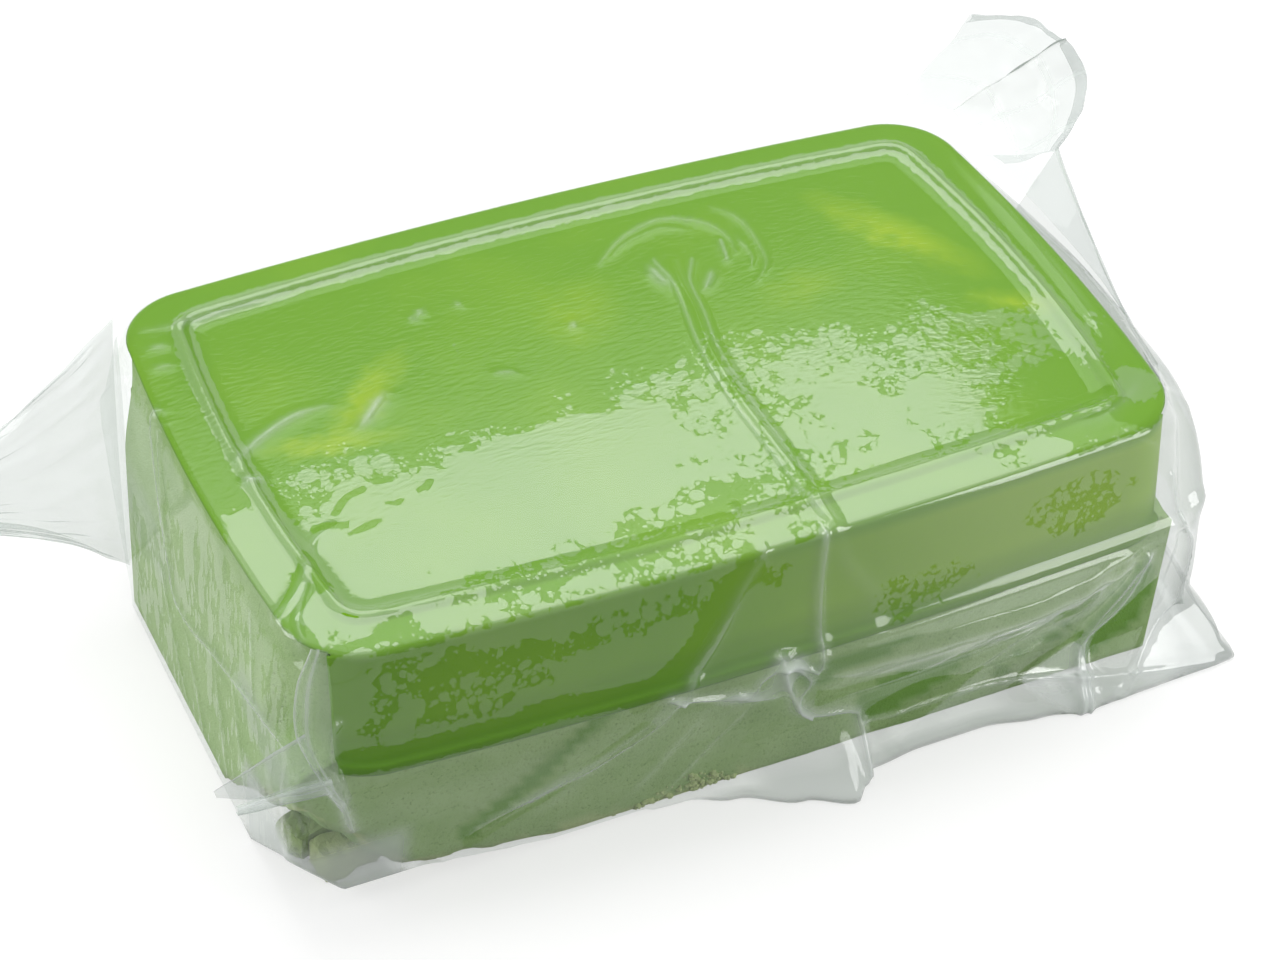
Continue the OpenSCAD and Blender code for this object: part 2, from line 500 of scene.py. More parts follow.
@dataclass(frozen=True)
class Streak:
    """A long soft spot on the tray's base where the plastic's colour differs."""

    middle: tuple[float, float]
    size: tuple[float, float]
    turn: float
    strength: float = 0.7

    def mask(self, tree: Tree,
             place: Socket) -> Socket:
        """Draws the spot.

        Args:
            tree: The node tree.
            place: Object coordinates.

        Returns:
            The spot's strength in its middle, and 0 past its edge.
        """
        local = add_node(tree, "ShaderNodeMapping", {
            "Vector": place, "Location": (self.middle[0] * MM, self.middle[1] * MM, 0),
            "Rotation": (0, 0, math.radians(self.turn)),
            "Scale": (self.size[0] * MM, self.size[1] * MM, 1)}, vector_type="TEXTURE")
        flat = add_node(tree, "ShaderNodeVectorMath", {
            0: local.outputs["Vector"], 1: (1, 1, 0)}, operation="MULTIPLY")
        far = add_node(tree, "ShaderNodeVectorMath", {0: flat.outputs["Vector"]},
                       operation="LENGTH")
        return add_node(tree, "ShaderNodeMapRange", {
            "Value": far.outputs["Value"], "From Min": 1.0, "From Max": 0.1,
            "To Max": self.strength}).outputs["Result"]


@dataclass(frozen=True)
class TrayPlastic(Finish):
    """Vacuum-formed polypropylene sheet, smooth and softly glossy, with yellow
    streaks from its regrind, painted shade as a deeper green down by its rim,
    and painted light as a paler green towards the right end of its walls."""

    name: str = "vacuum_formed_polypropylene"
    colour: str = "66961B"
    # The paler colour is thinner sheet where the thickness drifts, and painted light at
    # the right end of the walls
    thin_and_lit_colour: str = "86AC22"
    streak_colour: str = "B4C624"
    # Painted shade colour for the walls towards the rim
    rim_shade_colour: str = "4E7C14"
    streaks: Sequence[Streak] = (
        Streak((-68, 20), (24, 6), 42, 0.8), Streak((-80, 9), (20, 5), -10, 0.75),
        Streak((80, 30), (30, 8), -58, 0.7), Streak((94, -4), (13, 5), -35, 0.6),
        Streak((-7, 31), (16, 12), 60, 0.3), Streak((48, 20), (14, 8), 10, 0.3))

    def surface(self, tree: Tree) -> Socket:
        """Builds the finish's nodes.

        Args:
            tree: The material's empty tree.

        Returns:
            The shader's socket.
        """
        place = add_node(tree, "ShaderNodeTexCoord").outputs["Object"]
        # Sheet thickness wanders over some 40 mm, so the colour drifts a little
        drift = add_node(tree, "ShaderNodeTexNoise", {
            "Vector": place, "Scale": 1 / (40 * MM), "Detail": 3.0, "Roughness": 0.55})
        ramp = add_node(tree, "ShaderNodeMapRange", {
            "Value": drift.outputs["Fac"], "From Min": 0.45, "From Max": 0.85,
            "To Min": 0.0, "To Max": 0.35})
        # Painted light: towards the right end the lower walls are painted a paler green,
        # which stands for light from the right
        axes = add_node(tree, "ShaderNodeSeparateXYZ", {"Vector": place})
        right = add_node(tree, "ShaderNodeMapRange", {
            "Value": axes.outputs["X"], "From Min": -30 * MM, "From Max": 70 * MM},
            interpolation_type="SMOOTHSTEP")
        below = add_node(tree, "ShaderNodeMapRange", {
            "Value": axes.outputs["Z"], "From Min": 80 * MM, "From Max": 77 * MM,
            "To Max": 1.0})
        drawn = add_node(tree, "ShaderNodeMath", {
            0: right.outputs["Result"], 1: below.outputs["Result"],
            2: ramp.outputs["Result"]}, operation="MULTIPLY_ADD", use_clamp=True)
        mix = add_node(tree, "ShaderNodeMix", {
            "Factor": drawn.outputs[0], 6: linear(self.colour),
            7: linear(self.thin_and_lit_colour)}, data_type="RGBA")
        # The streaks are ragged, like paint dragged with a dry brush
        blot = add_node(tree, "ShaderNodeTexNoise", {
            "Vector": place, "Scale": 1 / (5 * MM), "Detail": 4.0, "Roughness": 0.65})
        torn = add_node(tree, "ShaderNodeVectorMath", {
            0: blot.outputs["Color"], 1: (9 * MM, 9 * MM, 0.0), 2: place},
            operation="MULTIPLY_ADD")
        even = add_node(tree, "ShaderNodeVectorMath", {
            0: torn.outputs["Vector"], 1: (4.5 * MM, 4.5 * MM, 0.0)},
            operation="SUBTRACT")
        total = highest(tree, [streak.mask(tree, even.outputs["Vector"])
                               for streak in self.streaks])
        share = add_node(tree, "ShaderNodeMath", {0: total, 1: blot.outputs["Fac"]},
                         operation="MULTIPLY")
        gold = add_node(tree, "ShaderNodeMix", {
            "Factor": share.outputs[0], 6: mix.outputs[2],
            7: linear(self.streak_colour)}, data_type="RGBA")
        # Painted shade: the walls are painted a deeper green towards the rim, where the
        # sheet stands off the block
        rim_shade_mask = add_node(tree, "ShaderNodeMapRange", {
            "Value": axes.outputs["Z"], "From Min": 62 * MM, "From Max": 52 * MM,
            "To Min": 0.0, "To Max": 0.8})
        body = add_node(tree, "ShaderNodeMix", {
            "Factor": rim_shade_mask.outputs["Result"], 6: gold.outputs[2],
            7: linear(self.rim_shade_colour)}, data_type="RGBA")
        shader = add_node(tree, "ShaderNodeBsdfPrincipled", {
            "Base Color": body.outputs[2], "Roughness": 0.28, "IOR": 1.55,
            "Specular IOR Level": 0.05})
        return shader.outputs["BSDF"]


@dataclass(frozen=True)
class Foam(Finish):
    """Open-celled phenolic foam, matt and powdery, with painted shade in its cell
    pits and crushed cells that leave a paler dust on its worn edges."""

    name: str = "phenolic_floral_foam"
    colour: str = "93B46E"
    pale_colour: str = "A6C284"
    # Painted shade colour for the cell pits
    pit_shade_colour: str = "74914F"
    powder_colour: str = "C3D096"
    wet_colour: str = "6E9A3E"

    def surface(self, tree: Tree) -> Socket:
        """Builds the finish's nodes.

        Args:
            tree: The material's empty tree.

        Returns:
            The shader's socket.
        """
        place = add_node(tree, "ShaderNodeTexCoord").outputs["Object"]
        # Cells are about 0.1 mm; they are drawn at 0.7 mm so that they show
        cells = add_node(tree, "ShaderNodeTexNoise", {
            "Vector": place, "Scale": 1 / (0.7 * MM), "Detail": 2.0, "Roughness": 0.7})
        cloud = add_node(tree, "ShaderNodeTexNoise", {
            "Vector": place, "Scale": 1 / (14 * MM), "Detail": 5.0, "Roughness": 0.65})
        shade = add_node(tree, "ShaderNodeMapRange", {
            "Value": cloud.outputs["Fac"], "From Min": 0.3, "From Max": 0.7})
        body = add_node(tree, "ShaderNodeMix", {
            "Factor": shade.outputs["Result"], 6: linear(self.colour),
            7: linear(self.pale_colour)}, data_type="RGBA")
        # Painted shade: where the cell pattern is low, which the bump below makes pits,
        # the colour is darkened
        pit_shade_mask = add_node(tree, "ShaderNodeMapRange", {
            "Value": cells.outputs["Fac"], "From Min": 0.42, "From Max": 0.25})
        dark = add_node(tree, "ShaderNodeMix", {
            "Factor": pit_shade_mask.outputs["Result"], 6: body.outputs[2],
            7: linear(self.pit_shade_colour)}, data_type="RGBA")
        bump = add_node(tree, "ShaderNodeBump", {
            "Strength": 0.5, "Distance": 0.5 * MM, "Height": cells.outputs["Fac"]})
        # The film clings to the foam in places and deepens its colour
        wet = add_node(tree, "ShaderNodeAttribute", attribute_name="wet")
        dark = add_node(tree, "ShaderNodeMix", {
            "Factor": wet.outputs["Fac"], 6: dark.outputs[2],
            7: linear(self.wet_colour)}, data_type="RGBA")
        # Powder lies on what has been rubbed or broken
        worn = add_node(tree, "ShaderNodeAttribute", attribute_name="worn")
        coat = add_node(tree, "ShaderNodeMix", {
            "Factor": worn.outputs["Fac"], 6: dark.outputs[2],
            7: linear(self.powder_colour)}, data_type="RGBA")
        shader = add_node(tree, "ShaderNodeBsdfPrincipled", {
            "Base Color": coat.outputs[2], "Roughness": 0.95, "IOR": 1.4,
            "Specular IOR Level": 0.15, "Normal": bump.outputs["Normal"]})
        return shader.outputs["BSDF"]


@dataclass(frozen=True)
class ClearFilm(Finish):
    """Thin clear polypropylene film, mirror-like where it is smooth, with a
    white haze along creases and dry bubbles where it lifts off what it wraps.
    Painted sheen raises its reflection in places, and painted shade dims what
    passes through it in others."""

    name: str = "clear_polypropylene_film"
    haze_colour: str = "CDD5D1"
    # Widths of the three sizes of bubble, and of a bubble's edge, in millimetres
    cells: Sequence[float] = (4.4, 2.2, 1.2)
    bubble_edge: float = 0.08
    bubble_haze: float = 0.03
    # How much one face reflects straight on, and how much more edge on. Both are
    # given; edge on, a real face reflects more
    straight_on: float = 0.0245
    edge_on: float = 0.3
    roughness: float = 0.085
    # What passes through smooth film, and through film that is crumpled or darkened
    # by painted shade
    clear_tint: tuple[float, float, float, float] = (0.95, 0.962, 0.955, 1.0)
    crumpled_and_shaded_tint: tuple[float, float, float, float] = (0.72, 0.735, 0.73, 1.0)

    def bubbles(self, tree: Tree, place: Socket,
                dry: Socket) -> Socket:
        """Draws round bubbles that grow together as the film gets drier.

        Args:
            tree: The node tree.
            place: Object coordinates.
            dry: How dry the film is: 0.2 has no bubbles, 1 hardly any gaps.

        Returns:
            1 in a bubble and 0 where the film is wetted down.
        """
        bent = add_node(tree, "ShaderNodeTexNoise", {
            "Vector": place, "Scale": 1 / (2.5 * MM), "Detail": 1.0})
        push = add_node(tree, "ShaderNodeVectorMath", {
            0: bent.outputs["Color"], 1: (1.0 * MM,) * 3, 2: place},
            operation="MULTIPLY_ADD")
        # At the left end the bubbles have run into upright streaks
        axes = add_node(tree, "ShaderNodeSeparateXYZ", {"Vector": place})
        squash = add_node(tree, "ShaderNodeMapRange", {
            "Value": axes.outputs["X"], "From Min": -113.5 * MM,
            "From Max": -112 * MM, "To Min": 0.25, "To Max": 1.0})
        scale = add_node(tree, "ShaderNodeCombineXYZ", {
            "X": 1.0, "Y": 1.0, "Z": squash.outputs["Result"]})
        push = add_node(tree, "ShaderNodeVectorMath", {
            0: push.outputs["Vector"], 1: scale.outputs["Vector"]},
            operation="MULTIPLY")
        patchy = add_node(tree, "ShaderNodeTexNoise", {
            "Vector": place, "Scale": 1 / (18 * MM), "Detail": 3.0, "Roughness": 0.6})
        lean = add_node(tree, "ShaderNodeMapRange", {
            "Value": patchy.outputs["Fac"], "From Min": 0.3, "From Max": 0.7,
            "To Min": -0.12, "To Max": 0.12})
        level = add_node(tree, "ShaderNodeMath", {
            0: dry, 1: lean.outputs["Result"]}, operation="ADD")
        reach = add_node(tree, "ShaderNodeMapRange", {
            "Value": level.outputs[0], "From Min": 0.2, "From Max": 1.0,
            "To Min": 0.0, "To Max": 1.7}, clamp=False)
        fill = add_node(tree, "ShaderNodeMapRange", {
            "Value": reach.outputs["Result"], "From Min": 1.0, "From Max": 1.4})
        sizes = []
        for size in self.cells:
            cell = add_node(tree, "ShaderNodeTexVoronoi", {
                "Vector": push.outputs["Vector"], "Scale": 1 / (size * MM),
                "Randomness": 1.0})
            random = add_node(tree, "ShaderNodeSeparateColor", {
                "Color": cell.outputs["Color"]})
            share = add_node(tree, "ShaderNodeMapRange", {
                "Value": random.outputs["Red"], "To Min": 0.12, "To Max": 0.85})
            radius = add_node(tree, "ShaderNodeMath", {
                0: reach.outputs["Result"], 1: share.outputs["Result"],
                2: fill.outputs["Result"]}, operation="MULTIPLY_ADD")
            over = add_node(tree, "ShaderNodeMath", {
                0: radius.outputs[0], 1: cell.outputs["Distance"]},
                operation="SUBTRACT")
            sizes.append(add_node(tree, "ShaderNodeMapRange", {
                "Value": over.outputs[0], "From Min": 0.0,
                "From Max": self.bubble_edge / size}).outputs[0])
        return highest(tree, sizes)

    def surface(self, tree: Tree) -> Socket:
        """Builds the finish's nodes.

        Args:
            tree: The material's empty tree.

        Returns:
            The shader's socket.
        """
        place = add_node(tree, "ShaderNodeTexCoord").outputs["Object"]
        painted = {name: add_node(tree, "ShaderNodeAttribute",
                                  attribute_name=name).outputs["Fac"]
                   for name in ("dry", "haze", "faces", "sheen", "peel", "dim")}
        bubble = self.bubbles(tree, place, painted["dry"])
        # The film is a little uneven, in ripples 2.4 mm long and about half as wide
        long = add_node(tree, "ShaderNodeMapping", {
            "Vector": place, "Scale": (1.0, 2.2, 1.0)}).outputs["Vector"]
        ripple = add_node(tree, "ShaderNodeTexNoise", {
            "Vector": long, "Scale": 1 / (2.4 * MM), "Detail": 1.0})
        bump = add_node(tree, "ShaderNodeBump", {
            "Strength": painted["peel"], "Distance": 0.2 * MM,
            "Height": ripple.outputs["Fac"]})
        # Where the film is wetted down, one free face turns a little light back;
        # Layer Weight reads the same from both sides
        facing = add_node(tree, "ShaderNodeLayerWeight", {"Blend": 0.5})
        fifth = add_node(tree, "ShaderNodeMath", {0: facing.outputs["Facing"], 1: 5.0},
                         operation="POWER")
        mirror = add_node(tree, "ShaderNodeMath", {
            0: fifth.outputs[0], 1: self.edge_on, 2: self.straight_on},
            operation="MULTIPLY_ADD")
        # A dry bubble has two more faces that reflect; the faces and sheen that the
        # pieces paint raise the reflection further, as painted reflection
        gain = add_node(tree, "ShaderNodeMath", {
            0: bubble, 1: painted["faces"], 2: painted["sheen"]},
            operation="MULTIPLY_ADD")
        strength = add_node(tree, "ShaderNodeMath", {
            0: mirror.outputs[0], 1: gain.outputs[0]}, operation="MULTIPLY",
            use_clamp=True)
        # Crumpled film lets less light straight through; dim also paints shade on parts
        # of the film such as its right end, hem, ear and flaps
        tint = add_node(tree, "ShaderNodeMix", {
            "Factor": painted["dim"], 6: self.clear_tint, 7: self.crumpled_and_shaded_tint},
            data_type="RGBA")
        clear = add_node(tree, "ShaderNodeBsdfTransparent", {"Color": tint.outputs[2]})
        gloss = add_node(tree, "ShaderNodeBsdfGlossy", {
            "Color": (1.0, 1.0, 1.0, 1.0), "Roughness": self.roughness,
            "Normal": bump.outputs["Normal"]})
        shine = add_node(tree, "ShaderNodeMixShader", {
            0: strength.outputs[0], 1: clear.outputs[0], 2: gloss.outputs[0]})
        milk = add_node(tree, "ShaderNodeBsdfDiffuse", {
            "Color": linear(self.haze_colour)})
        veil = add_node(tree, "ShaderNodeMath", {
            0: bubble, 1: self.bubble_haze, 2: painted["haze"]}, operation="MULTIPLY_ADD",
            use_clamp=True)
        both = add_node(tree, "ShaderNodeMixShader", {
            0: veil.outputs[0], 1: shine.outputs[0], 2: milk.outputs[0]})
        return both.outputs[0]


@dataclass(frozen=True)
class StageWhite(Finish):
    """Matt pale grey card with a glow that only what sees it gets, which brings it
    up to white and keeps the object's shadow."""

    name: str = "white_card"
    glow: float = 0.6
    colour: str = "ADADAD"

    def surface(self, tree: Tree) -> Socket:
        """Builds the finish's nodes.

        Args:
            tree: The material's empty tree.

        Returns:
            The shader's socket.
        """
        glow = add_node(tree, "ShaderNodeMath", {0: seen_ray(tree), 1: self.glow},
                        operation="MULTIPLY")
        card = add_node(tree, "ShaderNodeBsdfDiffuse", {"Color": linear(self.colour)})
        light = add_node(tree, "ShaderNodeEmission", {"Strength": glow.outputs[0]})
        both = add_node(tree, "ShaderNodeAddShader", {0: card.outputs[0],
                                                      1: light.outputs[0]})
        return both.outputs[0]


# ---------------------------------------------------------------- tray


@dataclass
class Tray:
    """The upturned tray: a flat base with a foot bead, and two long walls."""

    sizes: Sizes
    outline: Outline = Outline(side_steps=96, end_steps=44, corner_steps=16)
    sheet_thick: float = 1.0
    panel_rings: int = 5
    bead_steps: int = 8
    edge_steps: int = 5
    wall_rings: int = 5
    # Below 1 the bead's section is fuller than half a sine wave
    bead_round: float = 0.7
    bead_inset: float = 0.7
    bead_margin: float = 0.8

    def profile(self) -> list[Point]:
        """Lists the tray's section from its middle out to its rim.

        Returns:
            Offsets past the base's outline at the sides and at the ends, and height.
        """
        s = self.sizes
        panel_z = s.tray_top - s.panel_drop
        inner_side, inner_end = s.foot_side + s.foot_w, s.foot_end + s.foot_w
        rows = []
        for k in range(self.panel_rings):
            t = k / self.panel_rings
            rows.append((-(s.base_b - 4) * (1 - t) - inner_side * t,
                         -(s.base_b + 6) * (1 - t) - inner_end * t, panel_z))
        rows.append((-inner_side - self.bead_inset, -inner_end - self.bead_inset,
                     panel_z))
        for k in range(self.bead_steps + 1):
            t = k / self.bead_steps
            low = panel_z + (s.tray_top - panel_z) * t
            rise = (s.foot_z - low) * math.sin(math.pi * t) ** self.bead_round
            shift = s.foot_w * (1 - t)
            rows.append((-s.foot_side - shift, -s.foot_end - shift, low + rise))
        rows.append((-s.foot_side + self.bead_margin, -s.foot_end + self.bead_margin,
                     s.tray_top))
        rows.append((-s.edge_r - 0.6, -s.edge_r - 0.6, s.tray_top))
        for k in range(self.edge_steps + 1):
            angle = math.pi / 2 * k / self.edge_steps
            out = -s.edge_r * (1 - math.sin(angle))
            rows.append((out, out, s.tray_top - s.edge_r * (1 - math.cos(angle))))
        wall_z = s.rim_z + s.rim_h
        lean = s.flare * (1 - s.rim_h / s.tray_depth)
        for k in range(1, self.wall_rings + 1):
            t = k / self.wall_rings
            z = s.tray_top - s.edge_r + (wall_z - s.tray_top + s.edge_r) * t
            rows.append((lean * t, 0.0, z))
        full = s.flare + s.rim_out
        rows += [(full - 0.5, s.rim_out - 0.5, wall_z - 0.25),
                 (full, s.rim_out, wall_z - 0.7),
                 (full + 0.1, s.rim_out, s.rim_z + 0.5), (full, s.rim_out, s.rim_z)]
        return rows

    def build(self, material: Material) -> Object:
        """Extrudes the section ring by ring, opens the ends and adds thickness.

        Args:
            material: The material that it wears.

        Returns:
            The piece.
        """
        s = self.sizes
        kind, t = self.outline.places()
        bm = bmesh.new()
        loop = bmesh.ops.create_circle(
            bm, cap_ends=True, segments=self.outline.total(), radius=1.0)["verts"]
        for number, (side, end, z) in enumerate(self.profile()):
            if number:
                edges = [e for e in bm.edges if e.is_boundary]
                made = bmesh.ops.extrude_edge_only(bm, edges=edges)["geom"]
                fresh = [g for g in made if isinstance(g, bmesh.types.BMVert)]
                order = {}
                for v in fresh:
                    for e in v.link_edges:
                        other = e.other_vert(v)
                        if other in rank:
                            order[rank[other]] = v
                loop = [order[i] for i in range(len(order))]
            rank = {v: i for i, v in enumerate(loop)}
            full = np.ones(len(loop))
            r = max(s.corner_r + min(side, end), 3.0)
            x, y = Outline.at(kind, t, full * (s.base_a + end), full * (s.base_b + side),
                              full * s.bow_end, full * s.bow_long, full * r)
            for v, px, py in zip(loop, x, y):
                v.co = Vector((px, py + s.tray_y, z)) * MM
        self.open_ends(bm)
        bmesh.ops.recalc_face_normals(bm, faces=bm.faces)
        if max(bm.faces, key=lambda f: f.calc_center_median().z).normal.z < 0:
            bmesh.ops.reverse_faces(bm, faces=bm.faces)
        piece = finish_piece(bm, "tray_shell", material)
        thick = piece.modifiers.new("Sheet", "SOLIDIFY")
        thick.thickness = self.sheet_thick * MM
        thick.offset = -1
        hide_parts("tray")
        return piece

    def open_ends(self, bm: BMesh) -> None:
        """Cuts the walls away past the places where they stop at the ends.

        Args:
            bm: The tray, in metres.
        """
        s = self.sizes
        for sign in (-1, 1):
            below = [f for f in bm.faces
                     if f.calc_center_median().z < (s.base_z - 0.05) * MM
                     and sign * f.calc_center_median().x > 0.6 * s.wall_a * MM]
            part = set(below)
            for f in below:
                part.update(f.edges)
                part.update(f.verts)
            bmesh.ops.bisect_plane(
                bm, geom=list(part), plane_co=Vector((sign * s.wall_a * MM, 0, 0)),
                plane_no=Vector((sign, 0, 0)), clear_outer=True)


# ---------------------------------------------------------------- foam


def cut_corner(points: Array, sizes: Sizes, reach: Point,
               depth: Array) -> Array:
    """Draws points in to a slanting face across the front left bottom corner.

    Args:
        points: Rows of x, y, z.
        sizes: The block's sizes.
        reach: How far the face reaches along the block's three edges.
        depth: How deep the face lies, where 1 runs through those three reaches.

    Returns:
        The moved points.
    """
    size = np.array(reach)
    corner = np.array([-sizes.foam_l / 2, -sizes.foam_w / 2, sizes.foam_z])
    inside = ((points - corner) / size).sum(axis=1)
    way = (1 / size) / np.sum(1 / size ** 2)
    return points + np.clip(depth - inside, 0, None)[:, None] * way


@dataclass
class FoamBlock:
    """The block, with a worn front edge and a broken corner, and its crumbs."""

    sizes: Sizes
    cell: float = 2.6
    break_size: Point = (30, 44, 34)
    wear_from: float = -40
    wear_depth: float = 6.5
    crush_gap: float = 0.5

    def build(self, material: Material) -> Object:
        """Slices a box into a fine grid, then wears, breaks and crushes it.

        Args:
            material: The material that it wears.

        Returns:
            The piece.
        """
        s = self.sizes
        bm = bmesh.new()
        size = Vector((s.foam_l, s.foam_w, s.foam_h)) * MM
        bmesh.ops.create_cube(bm, size=1.0)
        bmesh.ops.scale(bm, vec=size, verts=bm.verts)
        bmesh.ops.bevel(bm, geom=bm.edges[:], offset=0.8 * MM, segments=2, profile=0.5,
                        affect="EDGES", material=-1)
        for axis in range(3):
            way = Vector((0, 0, 0))
            way[axis] = 1
            count = round(size[axis] / (self.cell * MM))
            for k in range(1, count):
                place = way * (-size[axis] / 2 + size[axis] * k / count)
                bmesh.ops.bisect_plane(bm, geom=bm.verts[:] + bm.edges[:] + bm.faces[:],
                                       plane_co=place, plane_no=way)
        lift = Vector((0, 0, (s.foam_z + s.foam_h / 2) * MM))
        bmesh.ops.translate(bm, verts=bm.verts, vec=lift)
        piece = finish_piece(bm, "foam_block", material)
        whole = coordinates(piece.data)
        worn = self.break_corner(self.wear(whole))
        lost = np.linalg.norm(worn - whole, axis=1)
        move_vertices(piece.data, self.crush(worn))
        dusty = smooth((3.0 + 1.4 * value_noise(worn, 3, 7) - worn[:, 2]) / 1.2)
        dusty *= smooth((-worn[:, 1] - 47) / 3) * smooth((8 - worn[:, 0]) / 8)
        powder = np.maximum(0.75 * smooth(lost / 0.8) * smooth((9 - lost) / 4),
                            0.8 * dusty)
        paint(piece.data, "worn", powder)
        wet = np.zeros(len(worn))
        for place in FACETS + BANDS:
            if place.dry < 0 and place.side is Side.FRONT:
                wet = np.maximum(wet, place.share(worn))
        paint(piece.data, "wet", wet * smooth((48 - worn[:, 2]) / 3))
        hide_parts("foam_brick")
        return piece

    def wear(self, points: Array) -> Array:
        """Rubs the front bottom edge away, more towards its left end.

        Args:
            points: Rows of x, y, z.

        Returns:
            The moved points.
        """
        s = self.sizes
        in_y = points[:, 1] + s.foam_w / 2
        in_z = points[:, 2] - s.foam_z
        more = smooth((self.wear_from - points[:, 0]) / 55)
        ragged = value_noise(points, 9, 3) * 0.35 + value_noise(points, 3.5, 4) * 0.25
        reach = (0.8 + self.wear_depth * more) * (1 + ragged)
        short = np.clip(reach - (in_y + in_z), 0, None) / 2
        out = points.copy()
        out[:, 1] += short
        out[:, 2] += short
        left = points[:, 0] + s.foam_l / 2
        rub = np.clip(2.2 * (1 + ragged) - (left + in_z), 0, None) / 2
        out[:, 0] += rub
        out[:, 2] += rub * 0.6
        return out

    def break_corner(self, points: Array) -> Array:
        """Snaps off the bottom corner at the front left."""
        ragged = value_noise(points, 7, 5) * 0.10 + value_noise(points, 2.5, 6) * 0.05
        return cut_corner(points, self.sizes, self.break_size, 1.12 + ragged)

    def crush(self, points: Array) -> Array:
        """Presses the top edges in to the tray's outline where the film pulls.

        Args:
            points: Rows of x, y, z.

        Returns:
            The moved points.
        """
        s = self.sizes
        a, b, r = s.base_a - self.crush_gap, s.base_b - s.tray_wall, s.corner_r
        x, y = np.abs(points[:, 0]), points[:, 1] - s.tray_y
        cx, cy = a - r, b - r
        over_y = np.clip((np.abs(y) - cy) / r, 0, 1)
        reach = a + s.bow_end * (1 - (np.clip(np.abs(y), 0, cy) / b) ** 2)
        arc = cx + (reach - cx) * np.sqrt(1 - over_y ** 2)
        limit = np.where(over_y > 0, arc, reach)
        blend = smooth((points[:, 2] - s.rim_z - 2) / (s.base_z - s.rim_z - 4))
        wall = smooth((points[:, 2] - s.rim_z + 5) / 6) * smooth((-y - cy) / 4)
        blend = np.maximum(blend, wall)
        out = points.copy()
        over = np.clip(x - limit, 0, None) * blend
        out[:, 0] -= np.sign(points[:, 0]) * over
        return out


@dataclass
class Crumb:
    """One lump that broke off the block."""

    name: str
    middle: Point
    size: Point
    turn: float
    seed: int
    powder: float = 0.0

    def build(self, material: Material) -> Object:
        """Knocks the faces of a cut box about into a broken lump.

        Args:
            material: The material that it wears.

        Returns:
            The piece.
        """
        bm = bmesh.new()
        bmesh.ops.create_cube(bm, size=1.0)
        bmesh.ops.subdivide_edges(bm, edges=bm.edges[:], cuts=7, use_grid_fill=True)
        bmesh.ops.scale(bm, vec=Vector(self.size) * MM, verts=bm.verts)
        bmesh.ops.rotate(bm, matrix=Matrix.Rotation(self.turn, 3, "Z"), verts=bm.verts)
        bmesh.ops.translate(bm, verts=bm.verts, vec=Vector(self.middle) * MM)
        piece = finish_piece(bm, self.name, material, smooth_faces=False)
        points = coordinates(piece.data)
        middle = np.array(self.middle)
        arm = points - middle
        round_off = np.linalg.norm(arm / np.array(self.size), axis=1)
        pull = 1 - 0.45 * np.clip(round_off - 0.5, 0, None)
        rough = (value_noise(points, 4, self.seed) * 0.16
                 + value_noise(points, 1.6, self.seed + 1) * 0.08)
        points = middle + arm * (pull + rough)[:, None]
        points[:, 2] = np.maximum(points[:, 2], SIZES.foam_z)
        move_vertices(piece.data, points)
        paint_even(piece.data, worn=self.powder)
        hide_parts("foam_chips")
        return piece


@dataclass
class Dust:
    """Grains that have crumbled off the block along its front bottom edge."""

    sizes: Sizes
    grains: int = 140
    seed: int = 5
    # Where the grains lie along the block, how far it spreads, and their share
    heaps: Sequence[Point] = ((-12, 8, 0.8), (-24, 5, 0.2))
    left_stop: float = -95
    powder: float = 0.9

    def build(self, material: Material) -> Object:
        """Scatters small lumps along the edge.

        Args:
            material: The material that it wears.

        Returns:
            The piece.
        """
        random = np.random.default_rng(self.seed)
        bm = bmesh.new()
        share = np.array([heap[2] for heap in self.heaps])
        picks = random.choice(len(self.heaps), self.grains, p=share / share.sum())
        for pick in picks:
            middle, spread, _ = self.heaps[pick]
            x = max(middle + random.normal(0, spread * 0.6), self.left_stop)
            size = 0.35 + 0.9 * random.random() ** 2
            up = random.random() ** 1.5 * 6.5 * math.exp(-((x + 14) / 12) ** 2)
            y = -self.sizes.foam_w / 2 + max(0.9 - up, 0) - size * 0.15
            place = Vector((x, float(y), self.sizes.foam_z + size * 0.6 + up)) * MM
            turn = Matrix.Rotation(random.random() * 6.28, 4, "Z")
            flat = Matrix.Diagonal((1.0, 0.8, 0.65, 1.0))
            bmesh.ops.create_icosphere(bm, subdivisions=1, radius=size * MM,
                                       matrix=Matrix.Translation(place) @ turn @ flat)
        piece = finish_piece(bm, "foam_dust", material,
                             smooth_faces=False)
        paint_even(piece.data, worn=self.powder)
        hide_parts("foam_chips")
        return piece


# ---------------------------------------------------------------- film


class Side(Enum):
    """The sides of the wrap that lie flat, by the two axes along each."""

    TOP = (0, 1)
    FRONT = (0, 2)
    LEFT = (1, 2)

    def weigh(self, points: Array) -> Array:
        """Weighs how much each point belongs to this side.

        Args:
            points: Rows of x, y, z.

        Returns:
            A share from 0 to 1 for each point.
        """
        x, y, z = points.T
        if self is Side.TOP:
            return smooth((z - SIZES.tray_top + 3) / 1.5)
        if self is Side.FRONT:
            return smooth((-y - 42) / 6) * smooth((SIZES.tray_top + 0.6 - z) / 1.0)
        return smooth((-x - 111) / 2) * smooth((SIZES.tray_top + 0.6 - z) / 1.0)


